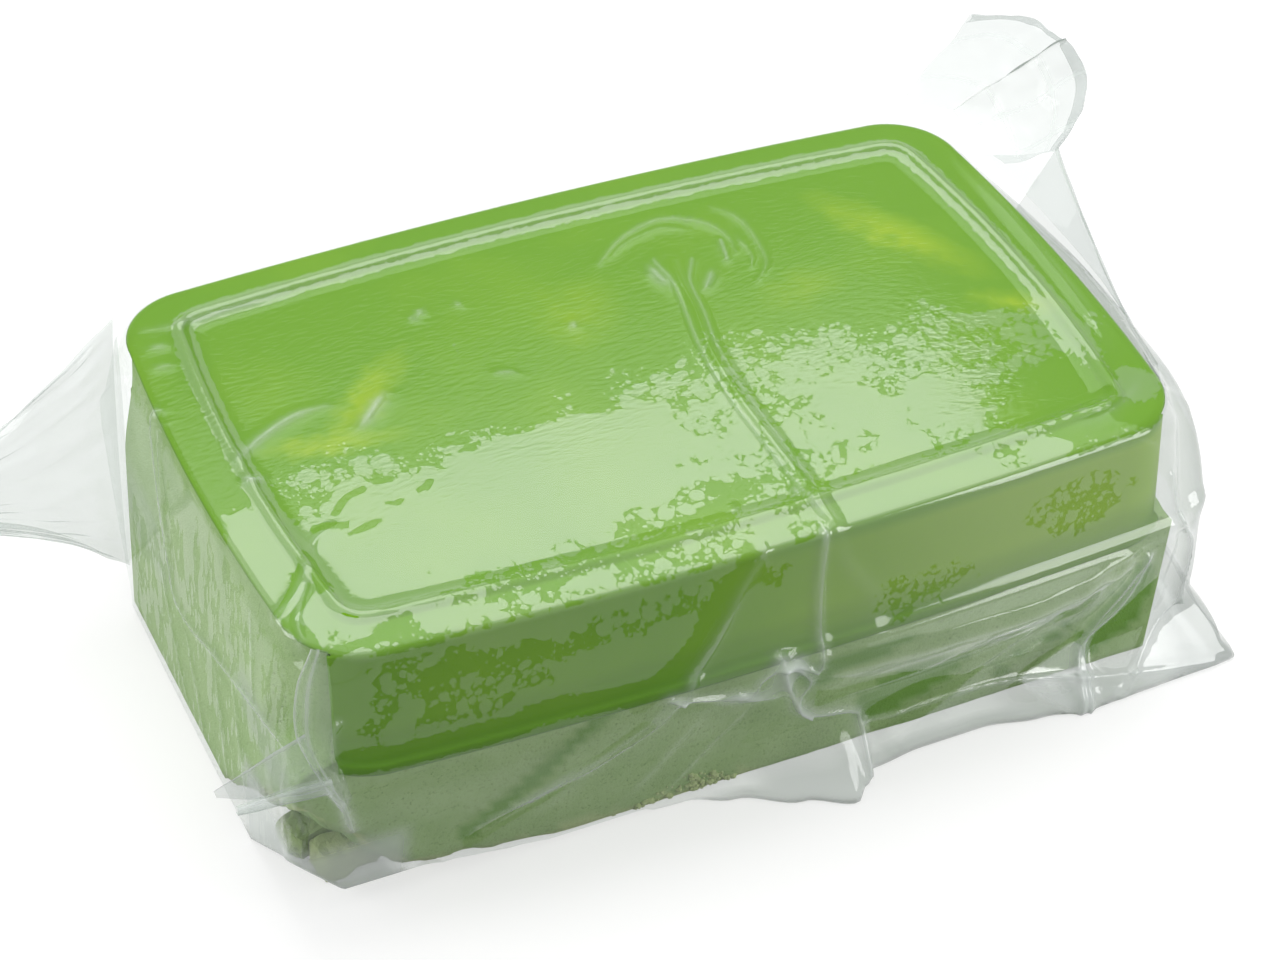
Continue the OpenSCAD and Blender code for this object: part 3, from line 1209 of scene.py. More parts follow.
@dataclass(frozen=True)
class Crease:
    """A fold that stands proud of one side of the film along a line."""

    side: Side
    line: Line
    height: float
    width: float
    # How white the fold's haze is; off the top it also paints a highlight along the crest
    whiten_and_shine: float = 0.1
    start: float = 0.3
    end: float = 0.3
    sharp: float = 1.2

    def share(self, points: Array) -> Array:
        """Measures how near the points are to the fold.

        Args:
            points: Rows of x, y, z.

        Returns:
            How close each point is to the fold's crest, from 0 to 1.
        """
        gap, t = polyline_distance(points[:, self.side.value], rounded(self.line))
        edge = np.where(t < 0.5, self.start + (1 - self.start) * smooth(t / 0.3),
                        self.end + (1 - self.end) * smooth((1 - t) / 0.3))
        return edge * np.exp(-(gap / self.width) ** self.sharp) * self.side.weigh(points)


@dataclass(frozen=True)
class Patch:
    """A round area of one side, for what differs from place to place."""

    side: Side
    middle: tuple[float, float]
    size: tuple[float, float]
    dry: float = 0.0
    haze: float = 0.0
    tilt: float = 0.0

    def share(self, points: Array) -> Array:
        """Measures which points lie in the area.

        Args:
            points: Rows of x, y, z.

        Returns:
            The area's strength at each point, from 0 to 1.
        """
        flat = points[:, self.side.value] - np.array(self.middle)
        c, n = math.cos(math.radians(self.tilt)), math.sin(math.radians(self.tilt))
        u, v = flat[:, 0] * c + flat[:, 1] * n, flat[:, 1] * c - flat[:, 0] * n
        ragged = 0.25 * value_noise(points, 9, 41)
        far = np.hypot(u / self.size[0], v / self.size[1]) + ragged
        return smooth((1.35 - far) / 0.7) * self.side.weigh(points)


@dataclass(frozen=True)
class Band:
    """A strip of one side along a line, for what differs from place to place."""

    side: Side
    line: Line
    width: float
    dry: float = 0.0
    haze: float = 0.0

    def share(self, points: Array) -> Array:
        """Measures which points lie in the strip.

        Args:
            points: Rows of x, y, z.

        Returns:
            The strip's strength at each point, from 0 to 1.
        """
        gap, _ = polyline_distance(points[:, self.side.value], rounded(self.line))
        edge = min(1.5, self.width)
        return smooth((self.width - gap) / edge + 0.5) * self.side.weigh(points)


@dataclass(frozen=True)
class Facet:
    """A many-sided area of one side, for what differs from place to place."""

    side: Side
    outline: Line
    dry: float = 0.0
    haze: float = 0.0
    # Painted reflection strength added to the area
    shine: float = 0.0
    edge: float = 1.0

    def share(self, points: Array) -> Array:
        """Measures which points lie in the area.

        Args:
            points: Rows of x, y, z.

        Returns:
            The area's strength at each point, from 0 to 1.
        """
        flat = points[:, self.side.value]
        ring = rounded((*self.outline, self.outline[0]), 4)
        gap, _ = polyline_distance(flat, ring)
        inside = np.zeros(len(flat), dtype=bool)
        for (x0, y0), (x1, y1) in zip(ring[:-1], ring[1:]):
            if y0 == y1:
                continue
            cuts = (y0 > flat[:, 1]) != (y1 > flat[:, 1])
            inside ^= cuts & (flat[:, 0] < x0 + (flat[:, 1] - y0) * (x1 - x0) / (y1 - y0))
        depth = np.where(inside, gap, -gap)
        return smooth(depth / self.edge + 0.5) * self.side.weigh(points)


def film_sheet(name: str, across: int, along: int,
               place: Callable[[Array, Array], Array]) -> BMesh:
    """Makes a sheet from a grid whose points are moved to their places.

    Args:
        name: The sheet's name, for the log.
        across: Steps across the sheet.
        along: Steps along the sheet.
        place: Takes the two shares from 0 to 1 and returns rows of x, y, z.

    Returns:
        The sheet, in metres.
    """
    bm = bmesh.new()
    bmesh.ops.create_grid(bm, x_segments=across, y_segments=along, size=0.5)
    share = np.array([v.co[:2] for v in bm.verts]) + 0.5
    points = place(share[:, 0], share[:, 1]) * MM
    for v, p in zip(bm.verts, points):
        v.co = Vector(p)
    log.info("%s: %d points", name, len(points))
    return bm


@dataclass
class FilmSkin:
    """The film where it hugs the tray and the block, down to its hem."""

    sizes: Sizes
    gap: float = 0.22
    outline: Outline = Outline(side_steps=140, end_steps=64, corner_steps=22)
    top_step: float = 1.6
    wall_step: float = 1.5
    ledge_step: float = 0.45
    floor_step: float = 6.0
    # Key rings on the top, the one just under the rim, and the one at the floor
    top_rings: int = 10
    rim_ring: int = 14
    floor_ring: int = 18
    floor_z: float = 0.2
    lap_back: float = 18
    lap_half: float = 95
    lap_gap: float = 0.4
    hug: Point = (17, 26, 20)
    hem: Line = (
        (-115, 0.2), (-30, 0.3), (-16, 1), (-5, 5), (10, 12), (22, 17.5), (27, 13),
        (31, 9), (45, 7.5), (62, 7.5), (78, 10.5), (90, 13), (110, 12.5), (120, 11))
    ledge: Line = (
        (-115, 0), (4, 0), (14, 1.8), (26, 3.2), (45, 4.7), (67, 5.2), (81, 4.2),
        (92, 2.2), (102, 0))
    right_reach: Line = (
        (0, 25), (6, 20), (22, 11), (50, 8), (66, 8), (73, 7.5), (79, 3.5), (83, 0))
    right_taper: Line = (
        (-70, 0.5), (-50, 0.85), (-30, 1.0), (0, 1.0), (30, 0.7), (60, 0.4), (85, 0.3))

    def rings(self) -> list[tuple[float, ...]]:
        """Lists the skin's key rings from the middle of the top to under the block.

        Returns:
            Front reach, back reach, half length, side bow, end bow, corner radius
            and height of each.
        """
        s, g = self.sizes, self.gap
        panel = s.tray_top - s.panel_drop + g
        rows = []

        def plate(side: float, end: float, z: float) -> None:
            """Adds a ring on the tray's base.

            Args:
                side: How far it is set in from the base's sides.
                end: How far it is set in from the base's ends.
                z: Its height.
            """
            flat = min(1.0, (s.base_b - side) / 20)
            r = max(s.corner_r - min(side, end), 3.0) * flat
            rows.append((s.base_b - side - s.tray_y, s.base_b - side + s.tray_y,
                         s.base_a - end, s.bow_long * flat, s.bow_end * flat, r, z))

        side, end, w = s.foot_side, s.foot_end, s.foot_w
        plate(s.base_b - 0.005, s.base_b + 12, panel)
        plate(side + w + 2.2, end + w + 2.2, panel)
        plate(side + w * 0.85, end + w * 0.85, s.foot_z + g - 0.5)
        plate(side + w * 0.62, end + w * 0.62, s.foot_z + g - 0.05)
        plate(side + w * 0.38, end + w * 0.38, s.foot_z + g - 0.05)
        plate(side + w * 0.12, end + w * 0.12, s.foot_z + g - 0.5)
        plate(side - 3.2, end - 3.2, s.tray_top + g + 0.25)
        plate(2.6, 2.6, s.tray_top + g)
        plate(1.0, 1.0, s.tray_top + g - 0.15)
        plate(0.1, 0.1, s.tray_top + g - 0.8)
        front = s.base_b - s.tray_y
        back = s.base_b + s.tray_y
        foot = s.foam_l / 2 + g
        wall_z = s.rim_z + s.rim_h
        lean = s.flare * (1 - s.rim_h / s.tray_depth) + g
        full = s.flare + s.rim_out + g
        rows.append((front + 0.45, back + 0.45, s.base_a + 0.45, 4, 4, s.corner_r,
                     s.tray_top - s.edge_r))
        rows.append((front + 1.2, back + 1.2, s.base_a + 2.6, 4, 2.0, 14,
                     s.tray_top - 6))
        rows.append((front + lean, back + lean, foot, 4, 0.3, 10, wall_z + 1.2))
        rows.append((front + full, back + full, foot, 4, 0.3, 9, wall_z - 0.8))
        rows.append((front + full, back + full, foot, 4, 0.3, 9, s.rim_z - 0.3))
        rows.append((front + full - 0.5, back + full - 0.3, foot, 3.9, 0.3, 9,
                     s.rim_z - 4))
        half = s.foam_w / 2 + g
        rows.append((half + 3.5, half + 13, foot, 2, 0.3, 5, s.rim_z * 0.5))
        rows.append((half + 0.6, half + 2, foot, 0.6, 0.3, 2, 5))
        rows.append((half + 0.4, half + 1.2, foot, 0.6, 0.3, 1.5, self.floor_z + 0.5))
        rows.append((half - 2, half - 2, foot - 2, 0.6, 0.3, 1.5, self.floor_z))
        rows.append((-self.lap_back + self.lap_gap, self.lap_back + self.lap_gap,
                     self.lap_half, 0, 0, 0.2, self.floor_z))
        return rows

    def section(self) -> Array:
        """Cuts the stretches between the key rings into even steps.

        Returns:
            The place of each fine ring among the key rings.
        """
        rows = self.rings()
        places = [0.0]
        for k in range(len(rows) - 1):
            a, b = rows[k], rows[k + 1]
            step = self.top_step if k < self.top_rings else self.wall_step
            if k == self.rim_ring:
                step = self.ledge_step
            if k >= len(rows) - 2:
                step = self.floor_step
            reach = math.hypot(b[0] - a[0], b[6] - a[6])
            count = max(1, round(reach / step))
            places += [k + (j + 1) / count for j in range(count)]
        return np.array(places)

    def place(self, across: Array, along: Array) -> Array:
        """Places the skin's points.

        Args:
            across: Share of the way round.
            along: Share of the way from the middle of the top to the lap.

        Returns:
            Rows of x, y, z in millimetres.
        """
        rows = np.array(self.rings())
        places = self.section()
        ring = np.rint(along * (len(places) - 1)).astype(int)
        at = places[ring]
        low = np.clip(np.floor(at).astype(int), 0, len(rows) - 2)
        part = (at - low)[:, None]
        front, back, a, bow_b, bow_a, r, z = (
            rows[low] * (1 - part) + rows[low + 1] * part).T
        kinds, shares = self.outline.places()
        step = np.rint(across * self.outline.total()).astype(int) % self.outline.total()
        kind, t = kinds[step], shares[step]
        b, mid = (front + back) / 2, (back - front) / 2
        x, y = Outline.at(kind, t, a, b, bow_a, bow_b, r)
        points = np.column_stack((x, y + mid, z))
        self.at = at
        return points

    def drape(self, points: Array) -> Array:
        """Spreads the skin out to its hem in front and at the right end.

        Args:
            points: The tight skin's points.

        Returns:
            The draped skin's points.
        """
        s = self.sizes
        x, y, z = points.T
        out = points.copy()
        below = smooth((18 - z) / 18)
        front = smooth((-y - 46) / 8)
        inward = np.clip((self.at - self.floor_ring) / 2, 0, 1)
        out[:, 1] -= along_curve(x, self.hem) * front * below * (1 - inward)
        ledge = along_curve(x, self.ledge)
        down = np.clip(s.rim_z + 0.3 - z, 0, None)
        shelf = np.minimum(down * 2.4, ledge) * (1 - smooth((down - 5) / 22))
        out[:, 1] -= shelf * front
        # The film follows the rubbed edge of the block
        rubbed = 0.8 + 6.0 * smooth((-45 - x) / 50)
        slant = np.clip(rubbed - z - (y + s.foam_w / 2), 0, rubbed)
        out[:, 1] += slant * (x < -25) * (y < 0) * (z < rubbed + 1)
        reach = along_curve(z, self.right_reach)
        taper = along_curve(y, self.right_taper)
        far = smooth((x - 112) / 3)
        out[:, 0] += reach * taper * far * (1 - inward)
        return cut_corner(out, s, self.hug, np.full(len(out), 1.0))

    def build(self, material: Material) -> Object:
        """Lofts the skin, drapes it, creases it and paints where it is dry.

        Args:
            material: The material that it wears.

        Returns:
            The piece.
        """
        places = self.section()
        bm = film_sheet("film_skin", self.outline.total(), len(places) - 1, self.place)
        mesh = bpy.data.meshes.new("film_skin_draft")
        bm.to_mesh(mesh)
        points = self.drape(coordinates(mesh))
        bpy.data.meshes.remove(mesh)
        for v, p in zip(bm.verts, points):
            v.co = Vector(p) * MM
        ring = bm.verts.layers.float.new("ring")
        for v, at in zip(bm.verts, self.at):
            v[ring] = at
        bmesh.ops.remove_doubles(bm, verts=bm.verts, dist=0.02 * MM)
        self.refine(bm)
        bmesh.ops.recalc_face_normals(bm, faces=bm.faces)
        piece = finish_piece(bm, "film_skin", material)
        self.crease(piece.data)
        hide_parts("film_wrap")
        return piece

    def refine(self, bm: BMesh) -> None:
        """Cuts the mesh three times finer beside the folds.

        Args:
            bm: The skin, in metres.
        """
        bm.verts.ensure_lookup_table()
        points = np.array([v.co[:] for v in bm.verts]) / MM
        near = np.zeros(len(points), dtype=bool)
        for crease in CREASES:
            gap, _ = polyline_distance(points[:, crease.side.value],
                                       rounded(crease.line))
            near |= (gap < crease.width * 1.6 + 0.8) & (crease.side.weigh(points) > 0.3)
        for band in BANDS:
            if band.width < 1.5:
                gap, _ = polyline_distance(points[:, band.side.value],
                                           rounded(band.line))
                near |= (gap < 2.5) & (band.side.weigh(points) > 0.3)
        for facet in FACETS:
            gap, _ = polyline_distance(
                points[:, facet.side.value],
                rounded((*facet.outline, facet.outline[0]), 4))
            near |= (gap < 1.8) & (facet.side.weigh(points) > 0.3)
        edges = [e for e in bm.edges
                 if near[e.verts[0].index] and near[e.verts[1].index]]
        bmesh.ops.subdivide_edges(bm, edges=edges, cuts=2, use_grid_fill=True)
        log.info("film_skin: %d points after refining", len(bm.verts))

    def crease(self, mesh: Mesh) -> None:
        """Lifts the folds and the slack wrinkles, paints dry and hazy places, and
        paints sheen and shade.

        Args:
            mesh: The skin.
        """
        points = coordinates(mesh)
        normals = vertex_normals(mesh)
        x, y, z = points.T
        low = smooth((self.sizes.rim_z - 2 - z) / 6) * smooth((-y - 48) / 5)
        loose = np.clip(low + smooth((x - 115.5) / 4), 0, 1) * smooth((z - 0.5) / 4)
        lift = loose * 0.5 * (value_noise(points, 22, 31) + 1)
        lift += (1 - loose) * 0.012 * (value_noise(points, 14, 33) + 1)
        top = smooth((z - self.sizes.base_z) / 1.0)
        left = smooth((-x - 111) / 3) * (1 - top)
        ring = np.empty(len(points), dtype=np.float32)
        mesh.attributes["ring"].data.foreach_get("value", ring)
        bead = smooth((ring - 0.9) / 0.5) * smooth((5.4 - ring) / 0.6)
        bead *= 1 - 0.75 * smooth((-y - 20) / 20)
        bead *= 1 - 0.9 * np.exp(-((ring - 2) / 0.4) ** 2)
        hem = smooth((2.5 - z) / 2) * smooth((-y - 57) / 3)
        corner = smooth((-86 - x) / 6) * smooth((30 - z) / 10) * smooth((-y - 22) / 8)
        haze = (0.05 * smooth((x + 10) / 70) * (1 - top) * smooth((z - 40) / 10)
                + 0.02 * loose + 0.01 * low * smooth((x - 4) / 12)
                + 0.05 * smooth((x - 116) / 5) + 0.15 * hem + 0.45 * corner)
        dry = np.full(len(points), 0.95)
        dry = np.where(top > 0.5, 0.15, dry)
        dry = np.where(left > 0.5, 0.62, dry)
        dry = np.maximum(dry, bead * 1.3)
        # Painted reflection: extra sheen on the film over the broken corner, along the
        # folds off the top, and on some facets
        shine = 2.2 * corner
        for crease in CREASES:
            share = crease.share(points)
            lift += crease.height * share
            haze += crease.whiten_and_shine * share
            shine += 5 * crease.whiten_and_shine * share * (crease.side is not Side.TOP)
        for place in PATCHES + BANDS + FACETS:
            share = place.share(points)
            dry += place.dry * share * (1 - bead)
            haze += place.haze * share
        for facet in FACETS:
            shine += facet.shine * facet.share(points)
        points += normals * lift[:, None]
        points[:, 2] = np.maximum(points[:, 2], 0.1)
        move_vertices(mesh, points)
        # Painted reflection: faces and sheen are painted per side, highest on the top and
        # rising towards the right end of the walls
        right = smooth((x + 10) / 90)
        wall = (1 - top) * (1 - left)
        paint(mesh, "dry", np.clip(dry, 0, 1.3))
        paint(mesh, "haze", np.clip(haze, 0, 0.7))
        foam = smooth((52 - z) / 4)
        wall_faces_and_sheen = 1.4 + 0.9 * right - 0.6 * foam * (1 - right)
        paint(mesh, "faces", 2.4 * top + wall * wall_faces_and_sheen + 1.0 * left)
        paint(mesh, "sheen", 1.15 * top + wall * 0.6 + 1.0 * left + shine)
        paint(mesh, "peel", 0.16 * top + 0.01)
        # Painted shade: the film is dimmed at the right end and along the hem
        paint(mesh, "dim", np.clip(0.75 * smooth((x - 114) / 6) + 0.7 * hem, 0, 1))


# The folds that cross the tray's base, the front and the left end
CREASES = (
    Crease(Side.TOP, ((21.5, 40), (20, 32), (18.8, 22.5), (15.4, 7), (13.8, -11),
                      (13.8, -29), (14, -45), (13.6, -58)), 1.5, 1.9, 0.0, 1, 1, 1.7),
    Crease(Side.TOP, ((18, 42), (18.2, 32.9), (16.4, 22), (13.3, 7), (11.7, -11),
                      (11.9, -29), (12.2, -45), (12.4, -56)), 0.35, 0.5, 0.14, 1, 1),
    Crease(Side.TOP, ((27.1, 39.3), (22.6, 31.4), (20.6, 20.4), (17.6, 6.6),
                      (16.2, -11.4), (16, -29.6), (16, -44.4)), 0.35, 0.5, 0.14, 1, 1),
    Crease(Side.TOP, ((15.9, 40.5), (16.1, 36), (17, 32)), 0.9, 1.1, 0.25),
    Crease(Side.TOP, ((29.6, 33.6), (27.5, 30.5), (24.5, 27.5)), 0.7, 0.9, 0.2),
    Crease(Side.TOP, ((4.8, 46.3), (10.9, 51.1), (17.5, 54.6), (26.8, 56.6),
                      (35.7, 51.9), (39.4, 44.8), (38.7, 38)), 0.5, 0.55, 0.12),
    Crease(Side.TOP, ((8.5, 47.2), (13.5, 50.8), (19, 52.6), (26, 53.4), (32, 50)),
           0.3, 0.5, 0.04),
    Crease(Side.TOP, ((41, 56.9), (44.4, 52.5), (45.8, 45.3), (44.8, 35.8),
                      (43.1, 30.5), (38.3, 26)), 0.4, 0.6, 0.08),
    Crease(Side.TOP, ((41.6, 44), (41.6, 36), (39.5, 31)), 0.35, 0.5, 0.08),
    Crease(Side.TOP, ((37, 43.5), (36, 39.2), (35.2, 36.1)), 0.5, 0.5, 0.2, 1, 1),
    Crease(Side.TOP, ((-72.2, 11.1), (-68, 15), (-62.6, 20.5)), 0.9, 1.1, 0.35),
    Crease(Side.TOP, ((-102.4, 10.2), (-96.2, 15.1), (-85.7, 20.2), (-76.6, 21.5)),
           0.85, 0.9, 0.28),
    Crease(Side.TOP, ((-103.4, 3.7), (-101.7, 2.4), (-99, 3.4)), 0.7, 0.8, 0.25),
    Crease(Side.TOP, ((-46.6, 42.5), (-41.8, 45.9)), 0.4, 0.5, 0.2),
    Crease(Side.TOP, ((-35.5, 17.5), (-30.8, 16.4)), 0.4, 0.6, 0.15),
    Crease(Side.TOP, ((-12.1, 26.1), (-9.9, 28)), 0.5, 0.6, 0.2),
    Crease(Side.TOP, ((-34.3, 43.8), (-32.8, 45)), 0.4, 0.6, 0.15),
    Crease(Side.TOP, ((-98.5, -20), (-100, -27), (-99.8, -36), (-97.5, -43),
                      (-89.2, -47.9), (-78, -49.5)), 0.25, 1.0, 0.0),
    Crease(Side.TOP, ((-100.9, -28.8), (-106.7, -35.8), (-111.5, -39.1)), 1.1, 1.0,
           0.08, 1, 1),
    Crease(Side.TOP, ((-102.7, -33.4), (-108.2, -41.5), (-109.6, -48.5)), 1.0, 1.0,
           0.08, 1, 1),
    Crease(Side.TOP, ((-99.6, -26), (-95.5, -20), (-90, -17)), 0.7, 0.9, 0.05),
    Crease(Side.TOP, ((106, -42), (101, -46), (92, -50), (80, -51.5)), 0.5, 1.4, 0.06),
    Crease(Side.TOP, ((109, 50), (109.4, 32), (109, 8), (107.5, -18), (105.5, -30)),
           1.15, 1.9, 0.04),
    Crease(Side.TOP, ((-106.5, 62), (-98, 60.2), (-86, 61.6), (-70, 62.2)), 0.4, 1.0,
           0.1),
    Crease(Side.TOP, ((-107.5, 55), (-103.5, 54.2)), 0.5, 0.9, 0.15),
    Crease(Side.TOP, ((-108.8, 48), (-104.5, 47.2)), 0.45, 0.7, 0.12),
    Crease(Side.FRONT, ((10.9, 82.5), (9.5, 66.5), (9.6, 47.2)), 1.5, 0.8, 0.3, 1, 1),
    Crease(Side.FRONT, ((13.5, 82), (16, 72), (23, 62), (24, 52)), 0.7, 2.2, 0.03,
           sharp=2),
    Crease(Side.FRONT, ((-3.8, 82), (-10, 74), (-16, 63), (-26, 49.5), (-37, 37),
                        (-54, 27), (-72, 18)), 1.5, 1.0, 0.2, 0.4, 0.4),
    Crease(Side.FRONT, ((-27.5, 50), (-38, 38.5), (-55, 27), (-73, 15.5)), 0.9, 0.6,
           0.3),
    Crease(Side.FRONT, ((-25.5, 48), (-36, 36), (-53, 25), (-70, 14.5)), 0.6, 0.5,
           0.25),
    Crease(Side.FRONT, ((-29.3, 50.5), (-17.3, 46.4), (-7.9, 44.7), (-5.4, 48),
                        (0.3, 51), (9, 46)), 1.7, 1.0, 0.35, 1, 1),
    Crease(Side.FRONT, ((-1.2, 52), (3.6, 39.2), (12, 24.7), (24.2, 19.8),
                        (27.1, 15.9), (27, 3)), 2.0, 1.1, 0.4, 1, 1),
    Crease(Side.FRONT, ((0.3, 51), (8, 43), (7, 33), (12, 24.7)), 1.4, 1.0, 0.35, 1, 1),
    Crease(Side.FRONT, ((-12, 46), (-6, 41), (4, 38)), 1.2, 1.3, 0.3),
    Crease(Side.FRONT, ((8.9, 31.5), (32.3, 31.1), (55, 36.8)), 1.3, 3.0, 0.03,
           sharp=1.8),
    Crease(Side.FRONT, ((30, 10), (44.9, 17.2), (62, 24), (73.3, 36)), 1.4, 2.8, 0.04,
           sharp=1.8),
    Crease(Side.FRONT, ((-40, 44), (-46, 30), (-60, 14)), 0.5, 3.5, 0.02, sharp=2),
    Crease(Side.FRONT, ((-20, 42), (-24, 28), (-34, 10)), 0.6, 2.5, 0.03, sharp=2),
    Crease(Side.FRONT, ((-6, 38), (-12, 25), (-22, 8)), 0.7, 0.9, 0.12),
    Crease(Side.FRONT, ((87.9, 1.5), (88.7, 11.8), (93.9, 24.8), (101.1, 45.9)), 1.6,
           1.0, 0.2, 1, 1),
    Crease(Side.FRONT, ((119.2, 19.4), (117.1, 41), (109.5, 54.1), (107, 66)), 1.8,
           1.0, 0.4, 1, 0.5),
    Crease(Side.FRONT, ((119.2, 19.4), (107, 8.8), (100.6, 2)), 1.2, 0.9, 0.25, 1,
           0.5),
    Crease(Side.FRONT, ((28.6, 13.3), (45.6, 12.4), (66.2, 11.9), (98.7, 6.6),
                        (128, 2)), 1.1, 0.7, 0.25, 1, 0.5),
    Crease(Side.FRONT, ((102.1, 45.4), (101.5, 35.4), (99, 25.2), (92.3, 17.1),
                        (90.3, 9.6), (90.6, 0)), 1.0, 0.9, 0.4, 1, 1),
    Crease(Side.FRONT, ((-105.6, 66.5), (-107.2, 63.1), (-107.9, 55.5),
                        (-106.8, 47.1)), 1.6, 0.8, 0.12, 1, 1),
    Crease(Side.FRONT, ((-109.1, 49.7), (-106.8, 45.5), (-104.4, 36.3), (-103.2, 33)),
           2.0, 1.0, 0.5, 1, 0.6),
    Crease(Side.LEFT, ((35, 85.7), (27, 60), (22, 45), (17.9, 36.4), (6, 37.5),
                       (-6.2, 42.2), (-32.6, 50), (-50, 55)), 0.9, 0.8, 0.2, 1, 1),
    Crease(Side.LEFT, ((29.1, 82), (27.4, 72), (25.5, 60), (20.2, 45)), 0.7, 0.7,
           0.12),
    Crease(Side.LEFT, ((12, 30), (4, 12), (1, 2)), 0.4, 0.7, 0.12),
    Crease(Side.LEFT, ((30, 40), (22, 22), (12, 4)), 0.4, 0.7, 0.12),
    Crease(Side.LEFT, ((-20, 42), (-24, 24), (-28, 8)), 0.4, 0.8, 0.1),
    Crease(Side.LEFT, ((-8, 38), (-11, 22), (-14, 6)), 0.4, 0.8, 0.1),
    Crease(Side.LEFT, ((-30, 76), (-32, 62), (-33, 52)), 0.4, 0.8, 0.1),
)
# Round areas where the film lies wet, dry or crumpled
PATCHES = (
    Patch(Side.TOP, (35, -25), (75, 32), dry=0.5),
    Patch(Side.TOP, (-62, -25), (52, 26), dry=0.64),
    Patch(Side.TOP, (0, -57), (112, 6), dry=0.44),
    Patch(Side.TOP, (-104, -46), (13, 12), dry=0.5),
    Patch(Side.TOP, (-109, -22), (6, 20), dry=0.5),
    Patch(Side.TOP, (-14, -40), (20, 6), dry=-0.38, tilt=4),
    Patch(Side.TOP, (84, -36), (20, 10), dry=-0.3),
    Patch(Side.TOP, (105, -42), (5, 7), dry=0.6, tilt=-20),
    Patch(Side.TOP, (50, -30), (22, 9), dry=0.12, tilt=-10),
    Patch(Side.FRONT, (-76, 67), (26, 9), dry=-0.43, tilt=8),
    Patch(Side.FRONT, (-88, 76), (14, 6), dry=-0.38),
    Patch(Side.FRONT, (-30, 74), (34, 5), dry=-0.42, tilt=2),
    Patch(Side.FRONT, (80, 68), (17, 9), dry=-0.45),
    Patch(Side.FRONT, (36, 58), (16, 7), dry=-0.34),
    Patch(Side.FRONT, (1.5, 46), (3.5, 6), haze=0.3, tilt=-30),
    Patch(Side.FRONT, (-9, 42.5), (6, 2.5), haze=0.3, tilt=-15),
    Patch(Side.FRONT, (70, 4), (34, 4), haze=0.06, tilt=-6),
    Patch(Side.LEFT, (-10, 20), (60, 40), dry=-0.18),
    Patch(Side.LEFT, (40, 60), (14, 16), dry=0.3),
    Patch(Side.LEFT, (38, 40), (16, 10), haze=0.12),
    Patch(Side.LEFT, (-40, 45), (18, 8), haze=0.18, tilt=15),
)
# Strips where the film lies wet or crumpled
BANDS = (
    Band(Side.FRONT, ((-106, 55.5), (-88, 54.5), (-73, 54), (-58, 55.5), (-40, 54),
                      (-24, 53)), 2.4, dry=-1.0),
    Band(Side.FRONT, ((-8, 79), (-16, 70), (-24, 59), (-36, 51)), 3.2, dry=-1.0),
    Band(Side.FRONT, ((-34, 42), (-45, 32), (-57, 22), (-72, 12)), 2.4, dry=-1.0,
         haze=-0.07),
    Band(Side.FRONT, ((-89, 66), (-93, 59)), 2.0, dry=0.6),
    Band(Side.FRONT, ((38, 1), (54, 11), (71, 21), (86, 29), (99, 39)), 2.2, haze=0.08),
    Band(Side.TOP, ((-88.1, -13.4), (-84.2, -9.7), (-79.6, -8.3)), 0.8, dry=-1.2),
    Band(Side.TOP, ((-94, -16.3), (-90.6, -16.7), (-87.5, -17.9)), 0.9, dry=-1.2),
    Band(Side.TOP, ((-75.6, -7), (-72.3, -7.3)), 0.7, dry=-1.2),
    Band(Side.TOP, ((-64.4, -11.6), (-66.2, -13)), 0.8, dry=-1.2),
    Band(Side.TOP, ((-54.7, -0.4), (-51.8, -1.2)), 1.4, dry=-1.2),
    Band(Side.TOP, ((-52.5, -4.2), (-50.8, -4.8)), 0.7, dry=-1.2),
    Band(Side.TOP, ((-47.5, 4), (-45.6, 4.6)), 1.2, dry=-1.2),
    Band(Side.TOP, ((-76, -14.5), (-74, -15.4), (-72.8, -15)), 0.6, dry=-1.2),
    Band(Side.TOP, ((-86, -20.5), (-81.5, -19.5)), 0.9, dry=-1.2),
    Band(Side.TOP, ((-100.2, -24.2), (-102.7, -29.7), (-107.7, -35.4), (-111.6, -38.8)),
         1.1, dry=-1.6),
    Band(Side.TOP, ((-99, -26.1), (-99.7, -30.9), (-100.1, -35.8)), 1.2, dry=-1.8),
    Band(Side.TOP, ((-102.5, -34.8), (-106.4, -38.9), (-110.4, -41.6)), 0.9, dry=-1.6),
    Band(Side.TOP, ((-110.4, -41.6), (-108.5, -47.2), (-107.7, -54)), 1.2, dry=-1.6),
    Band(Side.TOP, ((-107.7, -54), (-100.7, -53.7), (-91.4, -53.3), (-86, -49.9)), 0.9,
         dry=-1.6),
)
